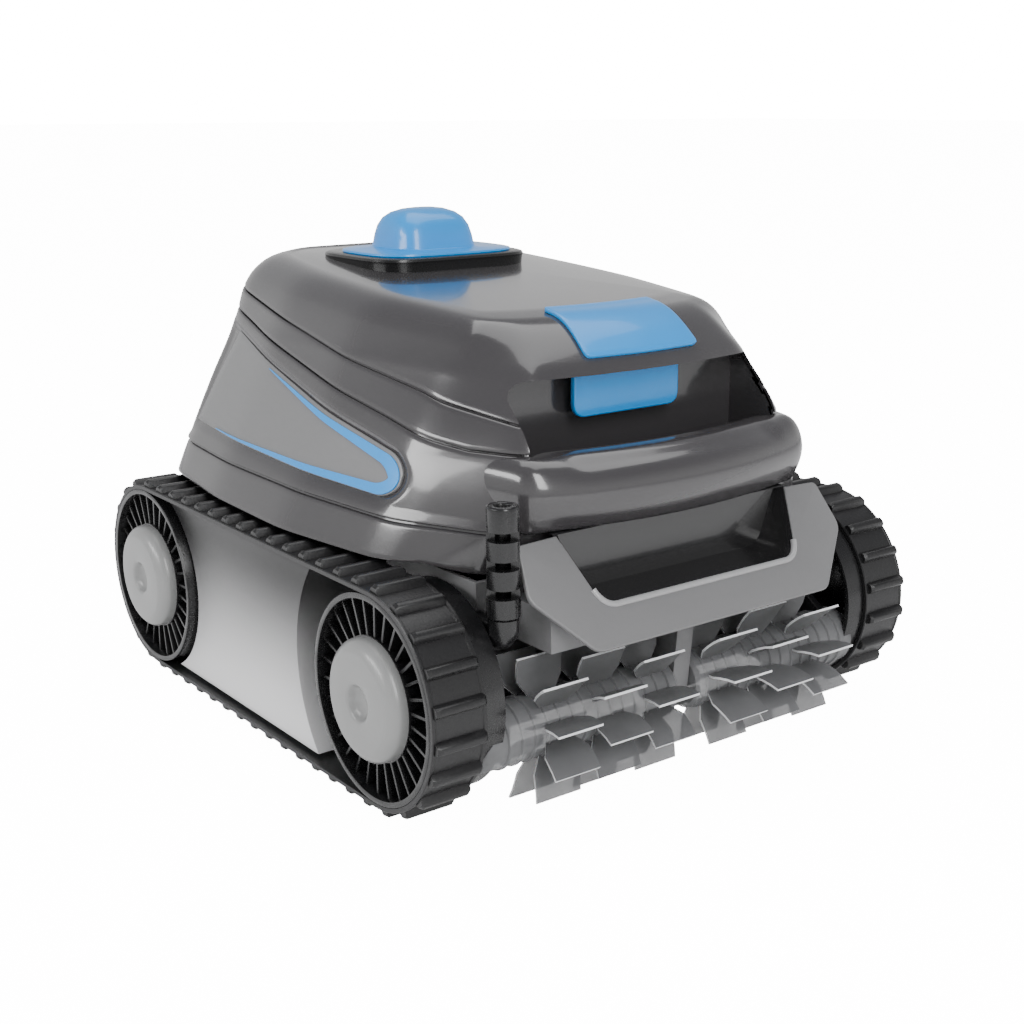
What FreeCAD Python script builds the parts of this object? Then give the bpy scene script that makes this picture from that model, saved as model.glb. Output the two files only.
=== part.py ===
import FreeCAD, Part

import math
import os

import Sketcher
from FreeCAD import Placement, Rotation, Vector
from fcgear import fcgear, involute

# Robotic pool cleaner on two tracks, with a roller brush in front, a pump in the
# middle and a lid over the filter. Millimetres. The origin is on the floor, under
# the middle of the machine; -Y is the front, +X is the right-hand side, +Z is up.

doc = FreeCAD.newDocument("PoolCleaner")
sheet = doc.addObject("Spreadsheet::Sheet", "Sizes")


# ---------------------------------------------------------------- sizes
class Size:
    """A size: its number now, and the sheet formula that gives it."""

    def __init__(self, value, formula=None):
        self.value = float(value)
        self.formula = formula or "(%r)" % float(value)

    def __add__(self, other):
        return joined(self, "+", other, self.value + number(other))

    def __radd__(self, other):
        return joined(other, "+", self, number(other) + self.value)

    def __sub__(self, other):
        return joined(self, "-", other, self.value - number(other))

    def __rsub__(self, other):
        return joined(other, "-", self, number(other) - self.value)

    def __mul__(self, other):
        return joined(self, "*", other, self.value * number(other))

    def __rmul__(self, other):
        return joined(other, "*", self, number(other) * self.value)

    def __truediv__(self, other):
        return joined(self, "/", other, self.value / number(other))

    def __neg__(self):
        return joined(0, "-", self, -self.value)


def number(size):
    return size.value if isinstance(size, Size) else float(size)


def as_size(size):
    return size if isinstance(size, Size) else Size(size)


def joined(a, sign, b, value):
    return Size(value, "(%s %s %s)" % (as_size(a).formula, sign, as_size(b).formula))


def square_root(size):
    return Size(math.sqrt(size.value), "sqrt(%s)" % size.formula)


class Sizes:
    """The driving dimensions, each one a named cell of the sheet."""

    def __init__(self):
        self.row = 1

    def add(self, **values):
        for name, value in values.items():
            sheet.set("A%d" % self.row, name)
            sheet.set("B%d" % self.row, str(value))
            sheet.setAlias("B%d" % self.row, name)
            setattr(self, name, Size(value, "Sizes." + name))
            self.row += 1


S = Sizes()

# tracks and wheels
S.add(wheelbase=275, front_axle_y=-129.5, overall_width=365, track_outer_x=175, belt_width=33,
      rim_radius=57, belt_gap=0.3, belt_thick=2.2, lug_height=4.5, lug_length=6, lug_count=49,
      drum_inner_x=129, rim_wall=3, web_thick=4, web_inset=22, fin_count=30, fin_thick=1.6,
      seat_outer=34, seat_inner=31, hub_radius=14, axle_radius=6, running_gap=0.06,
      cap_radius=33.5, cap_face_radius=27, cap_dimple_radius=9.5, cap_bevel=4.5)
# gears inside the drums
S.add(gear_module=1.5, ring_teeth=69, pinion_teeth=11, mesh_play=0.3, gear_width=8,
      gear_inset=2, brush_drop=20.9, motor_rise=21, pinion_shaft_radius=4)
# frame
S.add(chassis_half_width=121, chassis_wall=3, chassis_bottom=24, chassis_rear=178, nose_half_width=100,
      nose_front=-187, frame_thick=5, chassis_top=122, deck_thick=3)
# hull: height of each level, half width in the middle, at the waist, front corner, rear corner, tail
LEVELS = {
    "skirt": dict(z=120, half=171, waist=157, front_half=118, front=-147, rear_half=157, rear=184),
    "step": dict(z=150, half=154, waist=143, front_half=109, front=-157, rear_half=144, rear=179),
    "rail": dict(z=186, half=137, waist=127, front_half=94, front=-158, rear_half=127, rear=177),
    "shoulder": dict(z=225, half=118, waist=104, front_half=78, front=-140, rear_half=107, rear=174),
    "upper": dict(z=250, half=103, waist=87, front_half=66, front=-113, rear_half=97, rear=171),
    "crown": dict(z=274, half=82, waist=68, front_half=52, front=-92, rear_half=76, rear=164),
}
for level_name, level in LEVELS.items():
    S.add(**{level_name + "_" + key: value for key, value in level.items()})
S.add(waist_y=-105, widest_y=-20, flank_y=148, tail_inset=32, front_bow=8,
      skin=1.4, hull_wall=3, seam_gap=0.8)
# seams and top of the hull, in the side view: y and z of each corner
S.add(skirt_front_z=124, skirt_arch_z=129.6, skirt_rear_z=131, arch_y=-124, skirt_front_y=-150,
      low_seam_front_y=-130, low_seam_front_z=187, low_seam_mid_y=-73, low_seam_mid_z=198,
      low_seam_rear_y=145, low_seam_rear_z=233.7,
      high_seam_front_y=-151, high_seam_front_z=200, high_seam_mid_y=-90, high_seam_mid_z=213.4,
      high_seam_rear_y=136, high_seam_rear_z=245,
      plateau_front_y=-112, plateau_front_z=250.5, plateau_rear_y=165, plateau_rear_z=269.5)
# hand hollow, carrying bar, fascia and scoop
S.add(hollow_half=90, hollow_back=-118, hollow_floor=152, hollow_top=222, bar_back=-159, bar_front=-189,
      bar_end_y=-173, bar_bottom=146, bar_top=186, bar_half=103, bar_root_half=109, bar_root_y=-150,
      fascia_top_y=-172, fascia_top_z=145, fascia_bottom_y=-208, fascia_bottom_z=92.7, fascia_mid_z=121,
      fascia_thick=3, fascia_top_half=110, fascia_mid_half=115, fascia_bottom_half=85.4,
      scoop_top_half=84, scoop_bottom_half=66, scoop_bottom_z=111, scoop_wall=2, scoop_back=-166)
# side accent: a drop-shaped inlay with a blue edge strip
S.add(inlay_nose_y=-101, inlay_nose_z=171, inlay_low_front_y=-84, inlay_low_front_z=159,
      inlay_low_rear_y=141, inlay_low_rear_z=164.4, inlay_high_rear_y=127, inlay_high_rear_z=219.6,
      inlay_high_front_y=-87, inlay_high_front_z=181.5, inlay_margin=1.6, strip_width=5.5,
      strip_low_end_y=122, strip_high_end_y=92)
# brush
S.add(brush_radius=42.5, brush_core=17, brush_end_x=112, brush_gap_half=7, paddle_thick=1.8,
      paddle_rows=10, paddle_columns=3, paddle_width=25, paddle_pitch=34, paddle_first_x=24,
      stub_radius=5, brush_bore_depth=14, brush_roof_gap=2.9)
# pump, lid outlet and latch
S.add(pump_y=77, duct_inner=41, duct_wall=3, duct_bottom=186, duct_top=252, impeller_radius=39,
      impeller_z=226, impeller_height=16, shaft_radius=4, outlet_half_width=58, outlet_front=30,
      outlet_rear=125, collar_top=270, outlet_hole=40, plate_half=52, plate_front=34, plate_rear=115,
      plate_thick=2, dome_half=29, dome_front=52, dome_rear=105, overall_height=298, dome_wall=2.5,
      grille_drop=7, grille_thick=3, grille_rim=3, grille_bar=2, grille_pitch=12, grille_play=0.2,
      impeller_hub=11, impeller_nut=5, blade_lean=8, blade_thick=1.8)
S.add(latch_half_bottom=41, latch_thick=2.5, tab_half=38.5, tab_thick=4,
      tab_top=219, tab_bottom=195, tab_front=-128.7, hinge_y=180, hinge_z=256, hinge_radius=2.5,
      knuckle_radius=5, knuckle_half=40)
# motor block, motors, filter canister
S.add(block_half=112, block_front=34, block_rear=130, block_top=150, block_wall=3, seal_thick=2,
      motor_radius=17, pump_motor_radius=25, motor_inner_x=40, canister_half=84, canister_front=-99,
      canister_rear=22, canister_bottom=60, canister_top=178, canister_wall=2.5, inlet_half=58,
      inlet_front=-82, inlet_rear=-42, flap_thick=2)
# cable gland
S.add(gland_x=-120.5, gland_y=-174, gland_top=169, gland_split=110, gland_radius=8.6, gland_bore=4.2,
      gland_bore_depth=40, elbow_radius=7, elbow_end_y=-150)
doc.recompute()

half_width = S.overall_width / 2
rear_axle_y = S.front_axle_y + S.wheelbase
belt_inner = S.rim_radius + S.belt_gap
belt_outer = belt_inner + S.belt_thick
axle_z = belt_outer + S.lug_height
lug_tip = axle_z
belt_inner_x = S.track_outer_x - S.belt_width
mesh_distance = S.gear_module * (S.ring_teeth - S.pinion_teeth) / 2 - S.mesh_play
brush_y = S.front_axle_y - square_root(mesh_distance * mesh_distance - S.brush_drop * S.brush_drop)
brush_z = axle_z - S.brush_drop
motor_y = rear_axle_y - square_root(mesh_distance * mesh_distance - S.motor_rise * S.motor_rise)
motor_z = axle_z + S.motor_rise
frame_outer_x = S.chassis_half_width + S.frame_thick
nose_bottom = brush_z + S.brush_radius + S.brush_roof_gap
SIDES = {"left": -1, "right": 1}


# ---------------------------------------------------------------- construction helpers
PLANES = {
    "xy": Rotation(),
    "xz": Rotation(Vector(1, 0, 0), 90),
    "yz": Rotation(Vector(1, 1, 1), 120),
}
ALONG = {
    "x": Rotation(Vector(0, 1, 0), 90),
    "-x": Rotation(Vector(0, 1, 0), -90),
    "y": Rotation(Vector(1, 0, 0), -90),
    "z": Rotation(),
}


def put(obj, at, rotation=Rotation()):
    """Places an object at a point, each coordinate bound to its size."""
    obj.Placement = Placement(Vector(*[number(size) for size in at]), rotation)
    for letter, size in zip("xyz", at):
        obj.setExpression("Placement.Base." + letter, as_size(size).formula)
    return obj


def bound(obj, **sizes):
    for name, size in sizes.items():
        setattr(obj, name, number(size))
        obj.setExpression(name, as_size(size).formula)
    return obj


def primitive(kind, label, at, rotation, **sizes):
    obj = doc.addObject("Part::" + kind, label)
    bound(obj, **sizes)
    return put(obj, at, rotation)


def box(label, low, high):
    """A block between two corners."""
    size = [b - a for a, b in zip(low, high)]
    return primitive("Box", label, low, Rotation(), Length=size[0], Width=size[1], Height=size[2])


def rod(label, at, axis, radius, length):
    return primitive("Cylinder", label, at, ALONG[axis], Radius=radius, Height=length)



def outline(sketch, points):
    """Closes a chain of corners. A corner is (u, v), or (u, v, mid_u, mid_v) where an
    arc that passes through the middle point leads to the next corner."""
    at = [Vector(number(p[0]), number(p[1]), 0) for p in points]
    first = sketch.GeometryCount
    arcs = []
    for i, point in enumerate(points):
        start = at[i]
        end = at[(i + 1) % len(at)]
        if len(point) == 2:
            sketch.addGeometry(Part.LineSegment(start, end))
            arcs.append(None)
        else:
            middle = Vector(number(point[2]), number(point[3]), 0)
            arc = Part.Arc(start, middle, end)
            sketch.addGeometry(arc)
            # Arcs always run anticlockwise: a clockwise one has its ends swapped.
            turn = (middle - start).cross(end - middle).z
            arcs.append((1, 2) if turn > 0 else (2, 1))
    for i, point in enumerate(points):
        geometry = first + i
        following = first + (i + 1) % len(points)
        start_end = arcs[i] or (1, 2)
        next_start = (arcs[(i + 1) % len(points)] or (1, 2))[0]
        sketch.addConstraint(Sketcher.Constraint("Coincident", geometry, start_end[1], following, next_start))
        fix_point(sketch, geometry, start_end[0], point[0], point[1])
        if arcs[i]:
            helper = sketch.addGeometry(Part.Point(Vector(number(point[2]), number(point[3]), 0)), True)
            fix_point(sketch, helper, 1, point[2], point[3])
            sketch.addConstraint(Sketcher.Constraint("PointOnObject", helper, 1, geometry))
    return sketch


def fix_point(sketch, geometry, end, u, v):
    """Ties a point of the sketch to its two sizes, measured from the origin."""
    for kind, size in (("DistanceX", u), ("DistanceY", v)):
        constraint = Sketcher.Constraint(kind, -1, 1, geometry, end, number(size))
        index = sketch.addConstraint(constraint)
        sketch.setExpression("Constraints[%d]" % index, as_size(size).formula)


def circle(sketch, u, v, radius):
    centre = Vector(number(u), number(v), 0)
    geometry = sketch.addGeometry(Part.Circle(centre, Vector(0, 0, 1), number(radius)))
    fix_point(sketch, geometry, 3, u, v)
    index = sketch.addConstraint(Sketcher.Constraint("Radius", geometry, number(radius)))
    sketch.setExpression("Constraints[%d]" % index, as_size(radius).formula)
    return sketch


def flat_sketch(label, plane, at):
    """A free sketch on a plane parallel to xy, xz or yz, moved along the plane's normal."""
    sketch = doc.addObject("Sketcher::SketchObject", label)
    offset = {"xy": (0, 0, at), "xz": (0, at, 0), "yz": (at, 0, 0)}[plane]
    return put(sketch, offset, PLANES[plane])


def prism(label, plane, low, high, points, holes=()):
    """A straight block with the given outline, between two heights along the plane's normal.
    The xz plane's normal points to -Y, so its low is the rear end."""
    sketch = outline(flat_sketch(label + "_outline", plane, low), points)
    for u, v, radius in holes:
        circle(sketch, u, v, radius)
    block = doc.addObject("Part::Extrusion", label)
    block.Base = sketch
    block.DirMode = "Normal"
    block.Solid = True
    length = low - high if plane == "xz" else high - low
    return bound(block, LengthFwd=length)


def cut(label, base, *tools):
    for i, tool in enumerate(tools):
        result = doc.addObject("Part::Cut", label if i == len(tools) - 1 else label + "_cut%d" % i)
        result.Base = base
        result.Tool = tool
        base = result
    return base


def fuse(label, *shapes):
    result = doc.addObject("Part::MultiFuse", label)
    result.Shapes = list(shapes)
    result.Refine = True
    return result


def common(label, *shapes):
    result = doc.addObject("Part::MultiCommon", label)
    result.Shapes = list(shapes)
    return result


def group(label, *shapes):
    """Separate solids that share one node, such as like fasteners."""
    result = doc.addObject("Part::Compound", label)
    result.Links = list(shapes)
    return result


nodes = []


def node(obj, label):
    """Names a finished sub-part."""
    obj.Label = label
    nodes.append(obj)
    return obj


def span(side, near, far):
    """The lower and upper X of a stretch that runs from near to far out on one side."""
    return (near, far) if side > 0 else (-far, -near)


def origin_plane(body, role):
    for feature in body.Origin.OriginFeatures:
        if feature.Role == role:
            return feature


def body_sketch(body, label, role="XZ_Plane"):
    sketch = body.newObject("Sketcher::SketchObject", label)
    sketch.AttachmentSupport = [(origin_plane(body, role), "")]
    sketch.MapMode = "FlatFace"
    return sketch


def turned_body(label, profile):
    """A body of revolution about its own Z: the profile's corners are (radius, height)."""
    body = doc.addObject("PartDesign::Body", label)
    sketch = outline(body_sketch(body, label + "_profile"), profile)
    turn = body.newObject("PartDesign::Revolution", label + "_turn")
    turn.Profile = sketch
    turn.ReferenceAxis = (sketch, ["V_Axis"])
    turn.Angle = 360
    return body



# ---------------------------------------------------------------- hull lofts
def level_outline(level, inset):
    """The hull's plan outline at one level, drawn inwards by a wall."""
    half = getattr(S, level + "_half") - inset
    waist = getattr(S, level + "_waist") - inset
    front_half = getattr(S, level + "_front_half") - inset
    rear_half = getattr(S, level + "_rear_half") - inset
    front = getattr(S, level + "_front") + inset
    rear = getattr(S, level + "_rear") - inset
    tail_half = rear_half - S.tail_inset
    left = [(-tail_half, rear), (-rear_half, S.flank_y - inset), (-half, S.widest_y), (-waist, S.waist_y)]
    right = [(waist, S.waist_y), (half, S.widest_y), (rear_half, S.flank_y - inset), (tail_half, rear)]
    return left + [(-front_half, front, 0, front - S.front_bow)] + [(front_half, front)] + right


def hull_loft(label, inset):
    """The hull's closed outer form, or the same form drawn inwards by a wall."""
    sections = []
    for level in LEVELS:
        sketch = flat_sketch("%s_%s" % (label, level), "xy", getattr(S, level + "_z"))
        sections.append(outline(sketch, level_outline(level, Size(inset) if inset == 0 else inset)))
    loft = doc.addObject("Part::Loft", label)
    loft.Sections = sections
    loft.Solid = True
    loft.Ruled = True
    return loft


FAR = Size(230)
low_seam = [(-FAR, S.bar_top + 0.6), (S.skirt_front_y, S.bar_top + 0.6),
            (S.low_seam_front_y, S.low_seam_front_z + 0.2),
            (S.low_seam_mid_y, S.low_seam_mid_z), (S.low_seam_rear_y, S.low_seam_rear_z),
            (FAR, S.low_seam_rear_z + (FAR - S.low_seam_rear_y) * 0.22)]
high_seam = [(-FAR, S.high_seam_front_z), (S.high_seam_front_y, S.high_seam_front_z),
             (S.high_seam_mid_y, S.high_seam_mid_z), (S.high_seam_rear_y, S.high_seam_rear_z),
             (FAR, S.high_seam_rear_z + (FAR - S.high_seam_rear_y) * 0.22)]


def raised(line, by):
    return [(y, z + by) for y, z in line]


def zone(label, bottom, top):
    """A slice of the whole width between two lines of the side view."""
    return prism(label, "yz", -FAR, FAR, list(bottom) + list(reversed(top)))


skirt_line = [(-FAR, S.skirt_front_z), (S.skirt_front_y, S.skirt_front_z), (S.arch_y, S.skirt_arch_z),
              (FAR, S.skirt_rear_z)]
plateau_slope = (S.plateau_rear_z - S.plateau_front_z) / (S.plateau_rear_y - S.plateau_front_y)


def plateau_z(y):
    """The height of the lid's sloping top at one place along the machine."""
    return S.plateau_front_z + (y - S.plateau_front_y) * plateau_slope


plateau_line = [(-FAR, plateau_z(-FAR)), (FAR, plateau_z(FAR))]

full_form = hull_loft("full_form", 0)
skin_form = hull_loft("skin_form", S.skin)
inner_form = hull_loft("inner_form", S.hull_wall)
skin_layer = cut("skin_layer", full_form, skin_form)

# The hand hollow: a pocket behind the carrying bar, open to the front and above.
hollow_low = (-S.hollow_half, -FAR, S.hollow_floor)
hollow_high = (S.hollow_half, S.hollow_back, S.hollow_top)
hollow = box("hollow", hollow_low, hollow_high)
lining_low = (hollow_low[0] - S.hull_wall, hollow_low[1], hollow_low[2] - S.hull_wall)
lining_high = tuple(corner + S.hull_wall for corner in hollow_high)
hollow_lining = box("hollow_lining", lining_low, lining_high)
outer_hollowed = cut("outer_hollowed", full_form, hollow)
inner_hollowed = cut("inner_hollowed", inner_form, hollow_lining)
shell = cut("shell", outer_hollowed, inner_hollowed)

# ---------------------------------------------------------------- side inlays and blue strips
inlay_line = [(S.inlay_low_front_y, S.inlay_low_front_z), (S.inlay_low_rear_y, S.inlay_low_rear_z),
              (S.inlay_high_rear_y, S.inlay_high_rear_z),
              (S.inlay_high_front_y, S.inlay_high_front_z, S.inlay_nose_y, S.inlay_nose_z)]
low_slope = (S.inlay_low_rear_z - S.inlay_low_front_z) / (S.inlay_low_rear_y - S.inlay_low_front_y)
high_slope = (S.inlay_high_rear_z - S.inlay_high_front_z) / (S.inlay_high_rear_y - S.inlay_high_front_y)
strip_low_end_z = S.inlay_low_front_z + (S.strip_low_end_y - S.inlay_low_front_y) * low_slope + S.inlay_margin
strip_high_end_z = S.inlay_high_front_z + (S.strip_high_end_y - S.inlay_high_front_y) * high_slope \
    - S.inlay_margin
strip_inset = S.inlay_margin + S.strip_width
strip_line = [
    (S.inlay_low_front_y, S.inlay_low_front_z + S.inlay_margin),
    (S.strip_low_end_y, strip_low_end_z),
    (S.inlay_low_front_y + 2, S.inlay_low_front_z + strip_inset,
     S.inlay_nose_y + strip_inset, S.inlay_nose_z),
    (S.inlay_high_front_y + 2, S.inlay_high_front_z - strip_inset),
    (S.strip_high_end_y, strip_high_end_z),
    (S.inlay_high_front_y, S.inlay_high_front_z - S.inlay_margin,
     S.inlay_nose_y + S.inlay_margin, S.inlay_nose_z),
]
inlay_seats = []
for side_name, side in SIDES.items():
    low, high = span(side, Size(60), FAR)
    inlay_block = prism("inlay_block_" + side_name, "yz", low, high, inlay_line)
    strip_block = prism("strip_block_" + side_name, "yz", low, high, strip_line)
    seat = common("inlay_seat_" + side_name, skin_layer, inlay_block)
    inlay_seats.append(seat)
    node(cut("side_inlay_body_" + side_name, seat, strip_block), "side_inlay_" + side_name)
    node(common("accent_strip_body_" + side_name, seat, strip_block), "accent_strip_" + side_name)

# ---------------------------------------------------------------- lower hull with its carrying bar
hull_zone = zone("hull_zone", skirt_line, raised(low_seam, -S.seam_gap / 2))
hull_wall = cut("hull_wall_cut", common("hull_wall_slice", shell, hull_zone), *inlay_seats)
bar_plan = prism("bar_plan", "xy", S.bar_bottom, S.bar_top, [
    (-S.bar_root_half, S.bar_root_y),
    (-S.bar_half, S.bar_end_y, 0, S.bar_front),
    (S.bar_half, S.bar_end_y),
    (S.bar_root_half, S.bar_root_y),
    (S.hollow_half, S.bar_root_y),
    (S.hollow_half, S.bar_back),
    (-S.hollow_half, S.bar_back),
    (-S.hollow_half, S.bar_root_y),
])
bar_profile = prism("bar_profile", "yz", -FAR, FAR, [
    (S.bar_root_y + 20, S.bar_bottom),
    (S.bar_root_y + 20, S.bar_top),
    (S.bar_back - 8, S.bar_top, S.bar_front + 6, S.bar_top - 7),
    (S.bar_front, S.bar_bottom + 20),
    (S.bar_front + 6, S.bar_bottom + 3),
    (S.bar_front + 14, S.bar_bottom),
])
carrying_bar = common("carrying_bar", bar_plan, bar_profile)
node(fuse("hull_body", hull_wall, carrying_bar), "hull")

# ---------------------------------------------------------------- middle band and lid shell
band_zone = zone("band_zone", raised(low_seam, S.seam_gap / 2), raised(high_seam, -S.seam_gap / 2))
band_slice = common("band_slice", shell, band_zone)

lid_seam = raised(high_seam, S.seam_gap / 2)
lid_zone = zone("lid_zone", lid_seam, plateau_line)
lid_space_zone = zone("lid_space_zone", raised(high_seam, -FAR / 10), raised(plateau_line, -S.hull_wall))
lid_block = common("lid_block", outer_hollowed, lid_zone)
lid_space = common("lid_space", inner_hollowed, lid_space_zone)
outlet_bore = rod("outlet_bore", (0, S.pump_y, S.duct_top - 20), "z", S.outlet_hole + 2, FAR)

# Hinge at the tail: two lid knuckles and three band knuckles on one pin.
knuckle_length = S.knuckle_half * 2 / 5
knuckles = {"lid": [], "band": []}
for i in range(5):
    owner = "lid" if i % 2 else "band"
    gap = 0.25
    start = (-S.knuckle_half + knuckle_length * i + gap, S.hinge_y, S.hinge_z)
    barrel = rod("%s_knuckle_%d" % (owner, i), start, "x", S.knuckle_radius, knuckle_length - 2 * gap)
    if owner == "lid":
        arm = box("lid_arm_%d" % i, (start[0], S.upper_rear - 4, S.hinge_z - 1),
                  (start[0] + knuckle_length - 2 * gap, S.hinge_y, S.hinge_z + S.knuckle_radius))
    else:
        arm = box("band_arm_%d" % i, (start[0], S.upper_rear - 1, S.hinge_z - S.knuckle_radius - 8),
                  (start[0] + knuckle_length - 2 * gap, S.hinge_y, S.hinge_z - S.knuckle_radius + 1.2))
    knuckles[owner].append(fuse("%s_hinge_%d" % (owner, i), barrel, arm))
pin_hole = rod("lid_pin_hole", (-FAR / 2, S.hinge_y, S.hinge_z), "x", S.hinge_radius + S.running_gap, FAR)
pin_seat = rod("lid_pin_seat", (-FAR / 2, S.hinge_y, S.hinge_z), "x", S.hinge_radius, FAR)

band_solid = fuse("band_solid", band_slice, *knuckles["band"])
node(cut("band_body", band_solid, pin_seat), "middle_band")
lid_wall = cut("lid_wall", lid_block, lid_space, outlet_bore)
node(rod("hinge_pin_body", (-S.knuckle_half, S.hinge_y, S.hinge_z), "x", S.hinge_radius,
         S.knuckle_half * 2), "lid_hinge_pin")


# ---------------------------------------------------------------- lid outlet: collar, plate, cowl, grille
def rounded_block(label, half, front, rear, low, height, corner):
    """A body with rounded upright corners, padded upwards from a height."""
    k = corner * 0.2929
    return prism(label, "xy", low, low + height, [
        (-half, front + corner, -half + k, front + k),
        (-half + corner, front),
        (half - corner, front, half - k, front + k),
        (half, front + corner),
        (half, rear - corner, half - k, rear - k),
        (half - corner, rear),
        (-half + corner, rear, -half + k, rear - k),
        (-half, rear - corner),
    ])


outlet_tube = rod("outlet_tube", (0, S.pump_y, S.duct_top - 20), "z", S.outlet_hole, FAR)
collar_block = rounded_block("collar_block", S.outlet_half_width, S.outlet_front, S.outlet_rear,
                             plateau_z(S.outlet_front) - 6, S.collar_top - plateau_z(S.outlet_front) + 6, 15)
collar_neck = rod("collar_neck", (0, S.pump_y, plateau_z(S.pump_y) - 9), "z", S.outlet_hole + 1.9, 9)
under_lid = zone("under_lid", [(-FAR, Size(200)), (FAR, Size(200))], plateau_line)
collar_top = cut("collar_top", collar_block, under_lid)
node(cut("collar_body", fuse("collar_solid", collar_top, collar_neck), outlet_tube), "outlet_collar")

plate_block = rounded_block("plate_block", S.plate_half, S.plate_front, S.plate_rear, S.collar_top,
                            S.plate_thick, 12)
cowl_base = S.collar_top + S.plate_thick
dome_foot = cowl_base - S.plate_thick / 2


def dome_outline(inset):
    """The cowl in side view: steep front, domed top, open towards the tail."""
    top = S.overall_height - inset
    front = S.dome_front + inset
    return [
        (front, dome_foot - inset),
        (front + 2, cowl_base + 8, front + 5, top - 7),
        (front + 16, top - 1, S.pump_y, top),
        (S.dome_rear - 12 - inset, top - 3),
        (S.dome_rear - 3 - inset, cowl_base + 8),
        (S.dome_rear - inset, dome_foot - inset),
    ]


def dome_form(label, inset):
    width = prism(label + "_side", "yz", -S.dome_half + inset, S.dome_half - inset, dome_outline(inset))
    taper = prism(label + "_front", "xz", S.dome_rear + 2, S.dome_front - 2, [
        (-S.dome_half + inset, dome_foot - inset - 1),
        (S.dome_half - inset, dome_foot - inset - 1),
        (S.dome_half - 3 - inset, S.overall_height - 9 - inset),
        (S.dome_half - 15 - inset, S.overall_height + 3 - inset),
        (-S.dome_half + 15 + inset, S.overall_height + 3 - inset),
        (-S.dome_half + 3 + inset, S.overall_height - 9 - inset),
    ])
    return common(label, width, taper)


dome_inside = dome_form("dome_inside", S.dome_wall)
cowl_window = box("cowl_window", (-S.dome_half + 6, S.pump_y + 10, cowl_base + 0.5),
                  (S.dome_half - 6, FAR, S.overall_height - 10))
cowl_solid = fuse("cowl_solid", dome_form("dome_outside", Size(0)), plate_block)
node(cut("cowl_body", cowl_solid, dome_inside, cowl_window), "outlet_cowl")

grille_low = S.collar_top - S.grille_drop
grille_radius = S.outlet_hole - S.grille_play
grille_ring = cut("grille_ring",
                  rod("grille_rim", (0, S.pump_y, grille_low), "z", grille_radius, S.grille_thick),
                  rod("grille_opening", (0, S.pump_y, grille_low - 1), "z",
                      grille_radius - S.grille_rim, S.grille_thick + 2))
grille_bars = []
for i in (-1, 0, 1):
    bar_y = S.pump_y + i * S.grille_pitch
    grille_bars.append(box("grille_bar_%d" % i,
                           (-S.outlet_hole + 2, bar_y - S.grille_bar / 2, grille_low + 0.5),
                           (S.outlet_hole - 2, bar_y + S.grille_bar / 2, grille_low + 0.5 + S.grille_bar)))
grille_form = rod("grille_form", (0, S.pump_y, grille_low - 1), "z", grille_radius, S.grille_thick + 3)
node(common("grille_body", fuse("grille_solid", grille_ring, *grille_bars), grille_form), "outlet_grille")

# ---------------------------------------------------------------- latch: cover plate, tab and pin
latch_line = [(S.shoulder_front - S.front_bow, S.hollow_top + S.hull_wall),
              (S.upper_front - S.front_bow - S.skin, S.upper_z)]
latch_profile = [
    (latch_line[0][0] + 1, S.hollow_top + 3.6),
    (latch_line[1][0], plateau_z(S.upper_front) - 0.2),
    (S.plateau_front_y + 6, plateau_z(S.plateau_front_y + 6) + 0.1),
    (S.plateau_front_y + 6, plateau_z(S.plateau_front_y + 6) + S.latch_thick),
    (latch_line[1][0] - 3, plateau_z(S.upper_front) + S.latch_thick),
    (latch_line[0][0] - 3.4, S.hollow_top + 3.6),
]
latch_block = prism("latch_block", "yz", -S.latch_half_bottom, S.latch_half_bottom, latch_profile)
node(cut("latch_body", latch_block, full_form), "latch_plate")

tab_pivot_y = S.tab_front + S.tab_thick / 2
tab_pivot_z = S.tab_top
tab_plate = box("tab_plate", (-S.tab_half, S.tab_front, S.tab_bottom),
                (S.tab_half, S.tab_front + S.tab_thick, tab_pivot_z))
tab_barrel = rod("tab_barrel", (-S.tab_half, tab_pivot_y, tab_pivot_z), "x", S.tab_thick / 2, S.tab_half * 2)
tab_hook = prism("tab_hook", "yz", -S.tab_half / 2, S.tab_half / 2, [
    (S.tab_front + S.tab_thick, S.tab_bottom + 2),
    (S.tab_front + S.tab_thick, S.tab_bottom + 9),
    (S.hollow_back - 1.2, S.tab_bottom + 6),
    (S.hollow_back - 1.2, S.tab_bottom + 4),
])
latch_pin_radius = Size(1.2)
tab_solid = fuse("tab_solid", tab_plate, tab_barrel, tab_hook)
node(cut("tab_body", tab_solid, rod("tab_bore", (-S.tab_half - 1, tab_pivot_y, tab_pivot_z), "x",
                                    latch_pin_radius + S.running_gap, S.tab_half * 2 + 2)), "latch_tab")
pin_reach = S.tab_half + 5
node(rod("latch_pin_body", (-pin_reach, tab_pivot_y, tab_pivot_z), "x", latch_pin_radius, pin_reach * 2),
     "latch_pin")
cheeks = []
for side_name, side in SIDES.items():
    low, high = span(side, S.tab_half + 0.5, pin_reach)
    cheek = box("latch_cheek_" + side_name, (low, tab_pivot_y - 3, tab_pivot_z - 3),
                (high, tab_pivot_y + 3, S.hollow_top))
    cheeks.append(cut("latch_ear_" + side_name, cheek,
                      rod("latch_ear_bore_" + side_name, (-FAR, tab_pivot_y, tab_pivot_z), "x",
                          latch_pin_radius, FAR * 2)))
node(cut("lid_body", fuse("lid_solid", lid_wall, *knuckles["lid"], *cheeks), pin_hole), "lid_shell")

# ---------------------------------------------------------------- fascia, scoop liner and gland
fascia_lean = (S.fascia_bottom_y - S.fascia_top_y) / (S.fascia_top_z - S.fascia_bottom_z)


def fascia_y(z, depth=0):
    """Where the fascia's face is at a height, or a plane a horizontal depth behind it."""
    return S.fascia_top_y + (S.fascia_top_z - z) * fascia_lean + depth


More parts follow.
